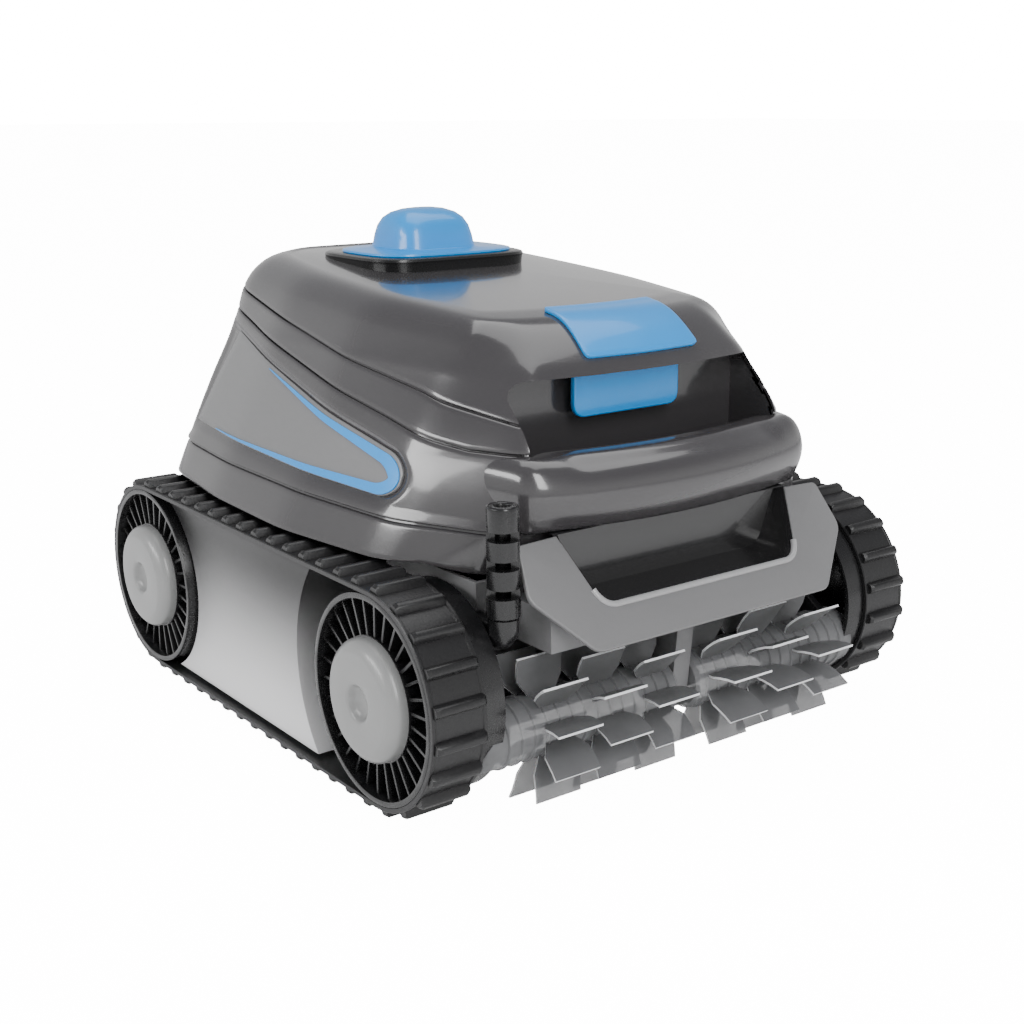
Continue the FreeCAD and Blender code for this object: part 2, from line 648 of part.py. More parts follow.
# The face leans, so its thickness measured along Y is more than the thickness square to it.
fascia_depth = S.fascia_thick * square_root(fascia_lean * fascia_lean + 1)
fascia_slab = prism("fascia_slab", "yz", -FAR, FAR, [
    (fascia_y(S.fascia_bottom_z), S.fascia_bottom_z),
    (fascia_y(S.fascia_bottom_z, fascia_depth), S.fascia_bottom_z),
    (fascia_y(S.fascia_top_z, fascia_depth), S.fascia_top_z),
    (fascia_y(S.fascia_top_z), S.fascia_top_z),
])
fascia_front = prism("fascia_front", "xz", S.bar_root_y, -FAR, [
    (-S.fascia_top_half, S.fascia_top_z),
    (-S.fascia_mid_half, S.fascia_mid_z),
    (-S.fascia_bottom_half, S.fascia_bottom_z),
    (S.fascia_bottom_half, S.fascia_bottom_z),
    (S.fascia_mid_half, S.fascia_mid_z),
    (S.fascia_top_half, S.fascia_top_z),
    (S.scoop_top_half, S.fascia_top_z),
    (S.scoop_bottom_half + 5, S.scoop_bottom_z + 4),
    (S.scoop_bottom_half - 3, S.scoop_bottom_z),
    (-S.scoop_bottom_half + 3, S.scoop_bottom_z),
    (-S.scoop_bottom_half - 5, S.scoop_bottom_z + 4),
    (-S.scoop_top_half, S.fascia_top_z),
])
node(common("fascia_body", fascia_slab, fascia_front), "fascia")


def scoop_form(label, inset, rise, forward):
    floor = S.scoop_bottom_z + rise
    top = S.fascia_top_z + rise
    back = S.scoop_back - rise
    side = prism(label + "_side", "yz", -FAR, FAR, [
        (fascia_y(floor, fascia_depth) - forward, floor),
        (fascia_y(top, fascia_depth) - forward, top),
        (back, top),
        (back, floor),
    ])
    front = prism(label + "_front", "xz", S.bar_root_y, -FAR, [
        (-S.scoop_top_half - inset, top),
        (-S.scoop_bottom_half - inset, floor),
        (S.scoop_bottom_half + inset, floor),
        (S.scoop_top_half + inset, top),
    ])
    return common(label, side, front)


scoop_outside = scoop_form("scoop_outside", S.scoop_wall, Size(0), Size(-0.1))
scoop_inside = scoop_form("scoop_inside", Size(0), S.scoop_wall, Size(20))
node(cut("scoop_body", scoop_outside, scoop_inside), "scoop_liner")

gland_sleeve = rod("gland_sleeve", (S.gland_x, S.gland_y, S.gland_split), "z", S.gland_radius,
                   S.gland_top - S.gland_split)
gland_hole = rod("gland_hole", (S.gland_x, S.gland_y, S.gland_top - S.gland_bore_depth), "z", S.gland_bore,
                 S.gland_bore_depth + 1)
slots = []
for i in range(3):
    slot_z = S.gland_split + 12 + i * 14
    slots.append(box("gland_slot_%d" % i, (S.gland_x - 12, S.gland_y - 12, slot_z),
                     (S.gland_x + 12, S.gland_y - S.gland_radius + 2, slot_z + 5)))
node(cut("gland_body", gland_sleeve, gland_hole, *slots), "cable_gland")

elbow_drop = rod("elbow_drop", (S.gland_x, S.gland_y, S.chassis_bottom + 75), "z", S.elbow_radius,
                 S.gland_split - S.chassis_bottom - 75)
elbow_ball = primitive("Sphere", "elbow_ball", (S.gland_x, S.gland_y, S.chassis_bottom + 75), Rotation(),
                       Radius=S.elbow_radius)
elbow_run = rod("elbow_run", (S.gland_x, S.gland_y, S.chassis_bottom + 75), "y", S.elbow_radius,
                S.elbow_end_y - S.gland_y)
node(fuse("elbow_body", elbow_drop, elbow_ball, elbow_run), "cable_elbow")

# ---------------------------------------------------------------- chassis tub with nose
tub_line = [
    (S.hollow_back - 4, S.chassis_bottom),
    (S.chassis_rear, S.chassis_bottom),
    (S.chassis_rear, S.chassis_top),
    (S.elbow_end_y, S.chassis_top),
    (S.elbow_end_y, nose_bottom),
    (S.hollow_back - 4, nose_bottom),
]
w = S.chassis_wall
tub_space = [
    (S.hollow_back - 4 + w, S.chassis_bottom + w),
    (S.chassis_rear - w, S.chassis_bottom + w),
    (S.chassis_rear - w, S.chassis_top + 1),
    (S.elbow_end_y + w, S.chassis_top + 1),
    (S.elbow_end_y + w, nose_bottom + w),
    (S.hollow_back - 4 + w, nose_bottom + w),
]
tub = cut("tub", prism("tub_block", "yz", -S.chassis_half_width, S.chassis_half_width, tub_line),
          prism("tub_space", "yz", -S.chassis_half_width + w, S.chassis_half_width - w, tub_space))
nose = cut("nose", box("nose_block", (-S.nose_half_width, S.nose_front, nose_bottom),
                       (S.nose_half_width, S.elbow_end_y, S.scoop_bottom_z)),
           box("nose_space", (-S.nose_half_width + w, S.nose_front + w, nose_bottom + w),
               (S.nose_half_width - w, S.elbow_end_y, S.scoop_bottom_z - w)))
inlet_hole = box("inlet_hole", (-S.inlet_half, S.inlet_front, S.chassis_bottom - 1),
                 (S.inlet_half, S.inlet_rear, S.chassis_bottom + 10))
chassis_cuts = [inlet_hole]
for side_name, side in SIDES.items():
    for hole_name, y, z in (("drive", motor_y, motor_z),):
        chassis_cuts.append(rod("%s_hole_%s" % (hole_name, side_name), (side * FAR, y, z),
                                "x" if side < 0 else "-x", S.pinion_shaft_radius + 1, FAR - 60))
node(cut("chassis_body", fuse("chassis_solid", tub, nose), *chassis_cuts), "chassis")

# Deck: a ledge around the tub's rim that the hull's skirt hangs over.
deck_plan = [(-S.chassis_half_width - 12, S.waist_y), (-S.chassis_half_width - 12, S.chassis_rear - 8),
             (S.chassis_half_width + 12, S.chassis_rear - 8), (S.chassis_half_width + 12, S.waist_y)]
deck_block = prism("deck_block", "xy", S.skirt_rear_z, S.skirt_rear_z + S.deck_thick, deck_plan)
rim_block = box("rim_block", (-S.chassis_half_width, S.waist_y, S.chassis_top),
                (S.chassis_half_width, S.chassis_rear - 8, S.skirt_rear_z + S.deck_thick))
deck_opening = box("deck_opening", (-S.chassis_half_width + w, S.waist_y + w, S.chassis_top - 1),
                   (S.chassis_half_width - w, S.chassis_rear - 8 - w, FAR))
deck_solid = common("deck_solid", fuse("deck_rim", deck_block, rim_block), inner_form)
node(cut("deck_body", deck_solid, deck_opening), "deck_frame")


# ---------------------------------------------------------------- gears
def gear_wire(teeth, external):
    """An involute outline with a tooth on its own X axis."""
    builder = fcgear.FCWireBuilder()
    draw = involute.CreateExternalGear if external else involute.CreateInternalGear
    tip = 1.0 if external else 0.6
    draw(builder, S.gear_module.value, int(teeth.value), 20, split=True, addCoeff=tip, dedCoeff=1.25,
         filletCoeff=0.38)
    return Part.Wire([curve.toShape() for curve in builder.wire])


def toothed(label, teeth, low, high, rim=None):
    """A toothed disc, or a ring with inward teeth, between two heights of its own Z axis."""
    face = Part.Face(gear_wire(teeth, rim is None))
    if rim is not None:
        face = Part.Face(Part.Wire(Part.makeCircle(rim.value))).cut(face)
    feature = doc.addObject("Part::Feature", label)
    feature.Shape = face.extrude(Vector(0, 0, high.value - low.value))
    feature.Placement = Placement(Vector(0, 0, low.value), Rotation())
    return feature


def in_side_view(y, z, angle=0):
    """Turns a piece's own Z to +X, with its own X at an angle in the side view, at an axis."""
    return Placement(Vector(0, y.value, z.value), PLANES["yz"] * Rotation(Vector(0, 0, 1), angle))


def seat_on_axis(obj, y, z, angle=0):
    obj.Placement = in_side_view(y, z, angle)
    obj.setExpression("Placement.Base.y", as_size(y).formula)
    obj.setExpression("Placement.Base.z", as_size(z).formula)
    return obj


def direction(from_y, from_z, to_y, to_z):
    return math.degrees(math.atan2(to_z.value - from_z.value, to_y.value - from_y.value))


def sided(side, profile):
    """A profile of (radius, distance out) turned into heights along X for one side."""
    return [(radius, distance * side) for radius, distance in profile]


# ---------------------------------------------------------------- wheels, caps and axles
gear_low = S.drum_inner_x + S.gear_inset
gear_high = gear_low + S.gear_width
web_outer = S.track_outer_x - S.web_inset
web_inner = web_outer - S.web_thick
rim_inside = S.rim_radius - S.rim_wall
hub_bore = S.axle_radius + S.running_gap
hub_end = web_outer + 7
seat_end = S.track_outer_x - 3
half_pitch = 180 / S.ring_teeth.value

wheel_profile = [
    (S.rim_radius, S.drum_inner_x), (S.rim_radius, S.track_outer_x), (rim_inside, S.track_outer_x),
    (rim_inside, web_outer), (S.seat_outer, web_outer), (S.seat_outer, seat_end), (S.seat_inner, seat_end),
    (S.seat_inner, web_outer), (S.hub_radius, web_outer), (S.hub_radius, hub_end), (hub_bore, hub_end),
    (hub_bore, web_inner - 10), (S.hub_radius, web_inner - 10), (S.hub_radius, web_inner),
    (rim_inside, web_inner), (rim_inside, S.drum_inner_x),
]
face_x = half_width
bevel_x = face_x - S.cap_bevel
cap_profile = [
    (Size(0), face_x - 1.5), (S.cap_dimple_radius - 1.5, face_x - 1.5), (S.cap_dimple_radius, face_x),
    (S.cap_face_radius, face_x), (S.cap_radius, bevel_x), (S.cap_radius, seat_end),
    (S.seat_inner - 0.1, seat_end), (S.seat_inner - 0.1, seat_end - 6), (S.seat_inner - 2, seat_end - 6),
    (S.seat_inner - 2, seat_end + 3), (S.cap_face_radius - 2, face_x - 3), (Size(0), face_x - 3),
]
WHEELS = {"front": (S.front_axle_y, brush_y, brush_z), "rear": (rear_axle_y, motor_y, motor_z)}
for side_name, side in SIDES.items():
    blank = turned_body("wheel_blank_" + side_name, sided(side, wheel_profile))
    fin_sketch = body_sketch(blank, "fin_outline_" + side_name, "XY_Plane")
    fin_sketch.AttachmentOffset = Placement(Vector(0, 0, side * web_outer.value), Rotation())
    fin_sketch.setExpression("AttachmentOffset.Base.z", (web_outer * side).formula)
    outline(fin_sketch, [(S.seat_outer - 1, -S.fin_thick / 2), (rim_inside + 0.5, -S.fin_thick / 2),
                         (rim_inside + 0.5, S.fin_thick / 2), (S.seat_outer - 1, S.fin_thick / 2)])
    fin = blank.newObject("PartDesign::Pad", "fin_" + side_name)
    fin.Profile = fin_sketch
    fin.Reversed = side < 0
    bound(fin, Length=S.web_inset - 4)
    ring_of_fins = blank.newObject("PartDesign::PolarPattern", "fins_" + side_name)
    ring_of_fins.Originals = [fin]
    ring_of_fins.Axis = (fin_sketch, ["N_Axis"])
    ring_of_fins.Angle = 360
    ring_of_fins.Occurrences = int(S.fin_count.value)
    blank.Tip = ring_of_fins
    ends = sorted([side * gear_low.value, side * gear_high.value])
    for wheel_name, (axle_y, pinion_y, pinion_z) in WHEELS.items():
        name = "%s_%s" % (wheel_name, side_name)
        ring = toothed("ring_gear_" + name, S.ring_teeth, Size(ends[0]), Size(ends[1]), rim_inside + 1)
        phase = direction(axle_y, axle_z, pinion_y, pinion_z) + half_pitch
        wheel = fuse("wheel_" + name, blank, ring)
        wheel.Refine = False
        node(seat_on_axis(wheel, axle_y, axle_z, phase), "%s_wheel_%s" % (wheel_name, side_name))
        cap = turned_body("cap_body_" + name, sided(side, cap_profile))
        node(seat_on_axis(cap, axle_y, axle_z), "%s_hub_cap_%s" % (wheel_name, side_name))

axles = []
retainers = []
for side_name, side in SIDES.items():
    for wheel_name, (axle_y, pinion_y, pinion_z) in WHEELS.items():
        name = "%s_%s" % (wheel_name, side_name)
        out = "x" if side > 0 else "-x"
        axle = rod("axle_rod_" + name, (frame_outer_x * side, axle_y, axle_z), out, S.axle_radius,
                   hub_end + 0.3 - frame_outer_x)
        flange = rod("axle_flange_" + name, (frame_outer_x * side, axle_y, axle_z), out, S.hub_radius,
                     web_inner - 10.5 - frame_outer_x)
        axles.append(fuse("axle_" + name, axle, flange))
        washer = rod("axle_washer_" + name, ((hub_end + 0.3) * side, axle_y, axle_z), out, S.axle_radius + 4,
                     1.6)
        head = rod("axle_screw_" + name, ((hub_end + 1.9) * side, axle_y, axle_z), out, S.axle_radius - 1, 3)
        retainers.append(fuse("retainer_" + name, washer, head))
node(group("wheel_axles_body", *axles), "wheel_axles")
node(group("retainers_body", *retainers), "axle_screws")

# ---------------------------------------------------------------- belts
belt_run = S.wheelbase
half_turn = math.pi * (belt_inner.value + S.belt_thick.value / 2)


def belt_place(distance):
    """A place along the belt's loop: centre of the bend, and the angle from straight down."""
    loop = [("low", belt_run.value), ("front", half_turn), ("high", belt_run.value), ("rear", half_turn)]
    for part, length in loop:
        if distance < length:
            break
        distance -= length
    if part == "low":
        return rear_axle_y.value - distance, 0
    if part == "front":
        return S.front_axle_y.value, 180 * distance / length
    if part == "high":
        return S.front_axle_y.value + distance, 180
    return rear_axle_y.value, 180 + 180 * distance / length


def stadium(radius, low, high):
    """A solid with two half-round ends about the wheel axles."""
    top = axle_z.value + radius
    bottom = axle_z.value - radius
    front = S.front_axle_y.value
    rear = rear_axle_y.value
    edges = [
        Part.makeLine(Vector(low, rear, bottom), Vector(low, front, bottom)),
        Part.Arc(Vector(low, front, bottom), Vector(low, front - radius, axle_z.value),
                 Vector(low, front, top)).toShape(),
        Part.makeLine(Vector(low, front, top), Vector(low, rear, top)),
        Part.Arc(Vector(low, rear, top), Vector(low, rear + radius, axle_z.value),
                 Vector(low, rear, bottom)).toShape(),
    ]
    return Part.Face(Part.Wire(edges)).extrude(Vector(high - low, 0, 0))


# The lugs follow the whole loop, round both bends and along both runs.
for side_name, side in SIDES.items():
    low, high = span(side, belt_inner_x, S.track_outer_x)
    low = low.value
    high = high.value
    band = stadium(belt_outer.value, low, high).cut(stadium(belt_inner.value, low, high))
    lugs = []
    lug_pitch = (belt_run.value + half_turn) * 2 / S.lug_count.value
    for i in range(int(S.lug_count.value)):
        y, angle = belt_place(i * lug_pitch)
        lug = Part.makeBox(high - low, S.lug_length.value, S.lug_height.value + 0.5,
                           Vector(low, -S.lug_length.value / 2, -lug_tip.value))
        lug.rotate(Vector(0, 0, 0), Vector(1, 0, 0), -angle)
        lug.translate(Vector(0, y, axle_z.value))
        lugs.append(lug)
    belt = doc.addObject("Part::Feature", "belt_" + side_name)
    belt.Shape = band.fuse(lugs)
    node(belt, "track_belt_" + side_name)

# ---------------------------------------------------------------- track frames and side panels
panel_bottom = axle_z - belt_inner + 2.5
panel_top = axle_z + belt_inner - 2.5
S.add(panel_front_radius=86, panel_rear_radius=61, panel_outer_x=170, panel_wall=3, frame_foot=30,
      frame_top=100)
doc.recompute()


def panel_outline(inset):
    """Between the wheels: straight top and bottom, hollow ends that follow the wheels."""
    reach = (panel_top - panel_bottom) / 2 - inset
    front_radius = S.panel_front_radius + inset
    rear_radius = S.panel_rear_radius + inset
    front_y = S.front_axle_y + square_root(front_radius * front_radius - reach * reach)
    rear_y = rear_axle_y - square_root(rear_radius * rear_radius - reach * reach)
    return [
        (front_y, panel_bottom + inset),
        (rear_y, panel_bottom + inset, rear_axle_y - rear_radius, axle_z),
        (rear_y, panel_top - inset),
        (front_y, panel_top - inset, S.front_axle_y + front_radius, axle_z),
    ]


bearing_reach = Size(12)
frame_line = [
    (brush_y - bearing_reach, brush_z - bearing_reach), (brush_y - bearing_reach, brush_z + bearing_reach),
    (S.front_axle_y - 12, S.frame_top - 20), (S.front_axle_y + 20, S.frame_top),
    (S.chassis_rear, S.frame_top), (S.chassis_rear, S.frame_foot), (S.front_axle_y, S.frame_foot),
]
for side_name, side in SIDES.items():
    low, high = span(side, S.chassis_half_width, frame_outer_x)
    node(prism("frame_body_" + side_name, "yz", low, high, frame_line, [
        (brush_y, brush_z, S.pinion_shaft_radius + S.running_gap),
        (motor_y, motor_z, S.pinion_shaft_radius + 1),
    ]), "track_frame_" + side_name)
    low, high = span(side, frame_outer_x, S.panel_outer_x)
    panel_block = prism("panel_block_" + side_name, "yz", low, high, panel_outline(Size(0)))
    low, high = span(side, frame_outer_x - 1, S.panel_outer_x - S.panel_wall)
    panel_space = prism("panel_space_" + side_name, "yz", low, high, panel_outline(S.panel_wall))
    node(cut("panel_body_" + side_name, panel_block, panel_space), "side_panel_" + side_name)

# ---------------------------------------------------------------- roller brush
brush_profile = [
    (Size(0), S.brush_gap_half + S.brush_bore_depth), (S.stub_radius + S.running_gap,
                                                       S.brush_gap_half + S.brush_bore_depth),
    (S.stub_radius + S.running_gap, S.brush_gap_half), (S.brush_core, S.brush_gap_half),
    (S.brush_core, S.brush_end_x), (S.pinion_shaft_radius, S.brush_end_x),
    (S.pinion_shaft_radius, gear_high), (Size(0), gear_high),
]
for side_name, side in SIDES.items():
    roller = turned_body("roller_" + side_name, sided(side, brush_profile))
    for column in range(int(S.paddle_columns.value)):
        name = "%s_%d" % (side_name, column)
        middle = S.paddle_first_x + S.paddle_pitch * column
        paddle_sketch = body_sketch(roller, "paddle_outline_" + name)
        stagger = (column % 2) * 180 / S.paddle_rows.value
        paddle_sketch.AttachmentOffset = Placement(Vector(0, 0, 0), Rotation(Vector(0, 1, 0), stagger))
        half = S.paddle_width / 2
        outline(paddle_sketch, [
            (S.brush_core - 1, (middle - half * 0.7) * side), (S.brush_radius, (middle - half) * side),
            (S.brush_radius, (middle + half) * side), (S.brush_core - 1, (middle + half * 0.7) * side)])
        paddle = roller.newObject("PartDesign::Pad", "paddle_" + name)
        paddle.Profile = paddle_sketch
        paddle.Midplane = True
        bound(paddle, Length=S.paddle_thick)
        paddles = roller.newObject("PartDesign::PolarPattern", "paddles_" + name)
        paddles.Originals = [paddle]
        paddles.Axis = (paddle_sketch, ["V_Axis"])
        paddles.Angle = 360
        paddles.Occurrences = int(S.paddle_rows.value)
        roller.Tip = paddles
    ends = sorted([side * gear_low.value, side * gear_high.value])
    brush_gear = toothed("brush_gear_" + side_name, S.pinion_teeth, Size(ends[0]), Size(ends[1]))
    phase = direction(S.front_axle_y, axle_z, brush_y, brush_z)
    brush = fuse("brush_body_" + side_name, roller, brush_gear)
    brush.Refine = False
    node(seat_on_axis(brush, brush_y, brush_z, phase), "roller_brush_" + side_name)

bearing_half = S.brush_gap_half - 1
hanger = prism("hanger", "yz", -bearing_half, bearing_half, [
    (brush_y - 8, brush_z - 8), (brush_y + 8, brush_z - 8), (brush_y + 14, nose_bottom),
    (brush_y - 14, nose_bottom)])
stub_reach = S.brush_gap_half + S.brush_bore_depth - 1
stub = rod("stub", (-stub_reach, brush_y, brush_z), "x", S.stub_radius, stub_reach * 2)
node(fuse("hanger_body", hanger, stub), "brush_centre_bearing")

# ---------------------------------------------------------------- drive pinions and motors
motor_outer_x = S.block_half - S.block_wall - 3
pinion_root_x = motor_outer_x - 8
for side_name, side in SIDES.items():
    out = "x" if side > 0 else "-x"
    shaft = turned_body("pinion_shaft_" + side_name, sided(side, [
        (Size(0), pinion_root_x + 1), (S.pinion_shaft_radius, pinion_root_x + 1),
        (S.pinion_shaft_radius, gear_high), (Size(0), gear_high)]))
    ends = sorted([side * gear_low.value, side * gear_high.value])
    teeth = toothed("pinion_teeth_" + side_name, S.pinion_teeth, Size(ends[0]), Size(ends[1]))
    phase = direction(rear_axle_y, axle_z, motor_y, motor_z)
    pinion = fuse("pinion_body_" + side_name, shaft, teeth)
    pinion.Refine = False
    node(seat_on_axis(pinion, motor_y, motor_z, phase), "drive_pinion_" + side_name)
    can = rod("motor_can_" + side_name, (S.motor_inner_x * side, motor_y, motor_z), out, S.motor_radius,
              motor_outer_x - S.motor_inner_x)
    bore = rod("motor_bore_" + side_name, (pinion_root_x * side, motor_y, motor_z), out,
               S.pinion_shaft_radius + S.running_gap, FAR)
    node(cut("motor_body_" + side_name, can, bore), "drive_motor_" + side_name)

# ---------------------------------------------------------------- sealed motor block
floor_z = S.chassis_bottom + S.chassis_wall
cover_low = S.block_top - 3
seal_low = cover_low - S.seal_thick
block_low = (-S.block_half, S.block_front, floor_z)
block_box = box("block_box", block_low, (S.block_half, S.block_rear, seal_low))
block_space = box("block_space", (-S.block_half + S.block_wall, S.block_front + S.block_wall,
                                  floor_z + S.block_wall),
                  (S.block_half - S.block_wall, S.block_rear - S.block_wall, seal_low + 1))
shaft_holes = rod("shaft_holes", (-FAR, motor_y, motor_z), "x", S.pinion_shaft_radius + 1, FAR * 2)
block_shell = cut("block_shell", block_box, block_space, shaft_holes)
cradles = []
for side_name, side in SIDES.items():
    low, high = span(side, S.motor_inner_x + 6, motor_outer_x - 6)
    cradle = box("cradle_" + side_name, (low, motor_y - 11, floor_z + S.block_wall),
                 (high, motor_y + 11, motor_z - 6))
    can = rod("cradle_cut_" + side_name, (-FAR, motor_y, motor_z), "x", S.motor_radius, FAR * 2)
    cradles.append(cut("motor_cradle_" + side_name, cradle, can))
node(fuse("block_body", block_shell, *cradles), "motor_block_housing")
seal_box = box("seal_box", (-S.block_half, S.block_front, seal_low), (S.block_half, S.block_rear, cover_low))
seal_space = box("seal_space", (-S.block_half + S.block_wall, S.block_front + S.block_wall, seal_low - 1),
                 (S.block_half - S.block_wall, S.block_rear - S.block_wall, cover_low + 1))
node(cut("seal_body", seal_box, seal_space), "motor_block_seal")
pump_hole = rod("pump_hole", (0, S.pump_y, seal_low), "z", S.shaft_radius + 1, 20)
cover_box = box("cover_box", (-S.block_half, S.block_front, cover_low),
                (S.block_half, S.block_rear, S.block_top))
node(cut("cover_body", cover_box, pump_hole), "motor_block_cover")

pump_top = seal_low - 6
pump_can = rod("pump_can", (0, S.pump_y, floor_z + S.block_wall), "z", S.pump_motor_radius,
               pump_top - floor_z - S.block_wall)
pump_bore = rod("pump_bore", (0, S.pump_y, pump_top - 18), "z", S.shaft_radius + S.running_gap, 20)
node(cut("pump_body", pump_can, pump_bore), "pump_motor")

seals = []
for side_name, side in SIDES.items():
    out = "x" if side > 0 else "-x"
    ring = rod("shaft_ring_" + side_name, (S.block_half * side, motor_y, motor_z), out,
               S.pinion_shaft_radius + 5, 4)
    hole = rod("shaft_ring_hole_" + side_name, ((S.block_half - 1) * side, motor_y, motor_z), out,
               S.pinion_shaft_radius + S.running_gap, 6)
    seals.append(cut("shaft_seal_" + side_name, ring, hole))
pump_ring = rod("pump_ring", (0, S.pump_y, S.block_top), "z", S.shaft_radius + 5, 4)
pump_ring_hole = rod("pump_ring_hole", (0, S.pump_y, S.block_top - 1), "z",
                     S.shaft_radius + S.running_gap, 6)
seals.append(cut("pump_shaft_seal", pump_ring, pump_ring_hole))
node(group("shaft_seals_body", *seals), "shaft_seals")

board_y = S.block_front + S.block_wall + 3
board = box("board", (-70, board_y, floor_z + 18), (70, board_y + 1.6, seal_low - 12))
chips = [box("chip_%d" % i, (-55 + i * 30, board_y + 1.6, floor_z + 40),
             (-37 + i * 30, board_y + 6, floor_z + 58)) for i in range(4)]
spacers = [rod("spacer_%d" % i, (x, S.block_front + S.block_wall, z), "y", 3, 3)
           for i, (x, z) in enumerate(((-64, floor_z + 24), (64, floor_z + 24),
                                       (-64, seal_low - 18), (64, seal_low - 18)))]
node(fuse("board_body", board, *chips, *spacers), "control_board")

cover_screws = []
for i, x in enumerate((-104, -35, 35, 104)):
    for j, y in enumerate((S.block_front + 6, S.block_rear - 6)):
        cover_screws.append(rod("cover_screw_%d_%d" % (i, j), (x, y, S.block_top), "z", 3, 2.2))

# ---------------------------------------------------------------- pump duct and impeller
duct = cut("duct_tube", rod("duct_outer", (0, S.pump_y, S.duct_bottom), "z", S.duct_inner + S.duct_wall,
                            S.duct_top - S.duct_bottom),
           rod("duct_bore", (0, S.pump_y, S.duct_bottom - 1), "z", S.duct_inner, FAR))
legs = []
for i in range(3):
    angle = math.radians(90 + 120 * i)
    reach = S.duct_inner + S.duct_wall / 2
    legs.append(rod("duct_leg_%d" % i, (reach * math.cos(angle), S.pump_y + reach * math.sin(angle),
                                        S.block_top), "z", 4, S.duct_bottom - S.block_top + 10))
legs_and_tube = fuse("legs_and_tube", duct, *legs)
node(cut("duct_body", legs_and_tube, rod("duct_clear", (0, S.pump_y, S.block_top - 1), "z",
                                         S.duct_inner, FAR)), "pump_duct")

rotor_top = S.impeller_z + S.impeller_height
rotor = turned_body("rotor", [
    (Size(0), pump_top - 16), (S.shaft_radius, pump_top - 16), (S.shaft_radius, S.impeller_z),
    (S.impeller_hub, S.impeller_z), (S.impeller_hub, rotor_top),
    (S.impeller_nut, rotor_top + S.impeller_nut), (Size(0), rotor_top + S.impeller_nut)])
blade_sketch = body_sketch(rotor, "blade_outline", "YZ_Plane")
outline(blade_sketch, [(-S.blade_lean, S.impeller_z + 1), (S.blade_thick - S.blade_lean, S.impeller_z + 1),
                       (S.blade_lean, rotor_top - 1), (S.blade_lean - S.blade_thick, rotor_top - 1)])
blade = rotor.newObject("PartDesign::Pad", "blade")
blade.Profile = blade_sketch
bound(blade, Length=S.impeller_radius)
blades = rotor.newObject("PartDesign::PolarPattern", "blades")
blades.Originals = [blade]
blades.Axis = (blade_sketch, ["V_Axis"])
blades.Angle = 360
blades.Occurrences = 4
rotor.Tip = blades
node(put(rotor, (0, S.pump_y, 0)), "impeller")

# ---------------------------------------------------------------- filter canister and inlet
c = S.canister_wall
can_box = box("can_box", (-S.canister_half, S.canister_front, S.canister_bottom),
              (S.canister_half, S.canister_rear, S.canister_top))
can_space = box("can_space", (-S.canister_half + c, S.canister_front + c, S.canister_bottom + c),
                (S.canister_half - c, S.canister_rear - c, S.canister_top + 1))
window_low = S.canister_bottom + 14
window_high = S.canister_top - 12
windows = []
for i in range(3):
    near = -S.canister_half + 8 + (S.canister_half * 2 - 10) / 3 * i
    windows.append(box("can_window_y%d" % i, (near, -FAR, window_low),
                       (near + (S.canister_half * 2 - 10) / 3 - 6, FAR, window_high)))
for i in range(2):
    near = S.canister_front + 8 + (S.canister_rear - S.canister_front - 10) / 2 * i
    windows.append(box("can_window_x%d" % i, (-FAR, near, window_low),
                       (FAR, near + (S.canister_rear - S.canister_front - 10) / 2 - 6, window_high)))
can_inlet = box("can_inlet", (-S.inlet_half + 4, S.inlet_front + 4, S.canister_bottom - 1),
                (S.inlet_half - 4, S.inlet_rear - 4, S.canister_bottom + c + 1))
flap_pivot_y = S.inlet_front - 2
flap_pivot_z = S.canister_bottom + c + 4
flap_pin_radius = Size(1.2)
ears = []
for side_name, side in SIDES.items():
    low, high = span(side, S.inlet_half + 0.5, S.inlet_half + 4)
    ear = box("flap_ear_" + side_name, (low, flap_pivot_y - 4, S.canister_bottom + c),
              (high, flap_pivot_y + 4, flap_pivot_z + 4))
    ears.append(ear)
can_solid = fuse("can_solid", cut("can_cut", can_box, can_space, can_inlet, *windows), *ears)
ear_bores = rod("ear_bores", (-S.inlet_half - 5, flap_pivot_y, flap_pivot_z), "x", flap_pin_radius,
                (S.inlet_half + 5) * 2)
node(cut("can_body", can_solid, ear_bores), "canister_frame")

m = c + 0.8
mesh_box = box("mesh_box", (-S.canister_half + c, S.canister_front + c, window_low - 6),
               (S.canister_half - c, S.canister_rear - c, window_high + 6))
mesh_space = box("mesh_space", (-S.canister_half + m, S.canister_front + m, window_low - 7),
                 (S.canister_half - m, S.canister_rear - m, window_high + 7))
node(cut("mesh_body", mesh_box, mesh_space), "canister_mesh")

can_lid = box("can_lid", (-S.canister_half, S.canister_front, S.canister_top),
              (S.canister_half, S.canister_rear, S.canister_top + 3))
can_lip = box("can_lip", (-S.canister_half + c + 0.3, S.canister_front + c + 0.3, S.canister_top - 4),
              (S.canister_half - c - 0.3, S.canister_rear - c - 0.3, S.canister_top))
can_lip_space = box("can_lip_space", (-S.canister_half + c + 3, S.canister_front + c + 3, S.canister_top - 5),
                    (S.canister_half - c - 3, S.canister_rear - c - 3, S.canister_top))
handle_y = (S.canister_front + S.canister_rear) / 2
handle_outer = box("handle_outer", (-35, handle_y - 4, S.canister_top + 3),
                   (35, handle_y + 4, S.canister_top + 20))
handle_hole = box("handle_hole", (-29, handle_y - 5, S.canister_top + 3),
                  (29, handle_y + 5, S.canister_top + 15))
lip_ring = cut("lip_ring", can_lip, can_lip_space)
carry = cut("carry", handle_outer, handle_hole)
node(fuse("can_lid_body", can_lid, lip_ring, carry), "canister_cover")

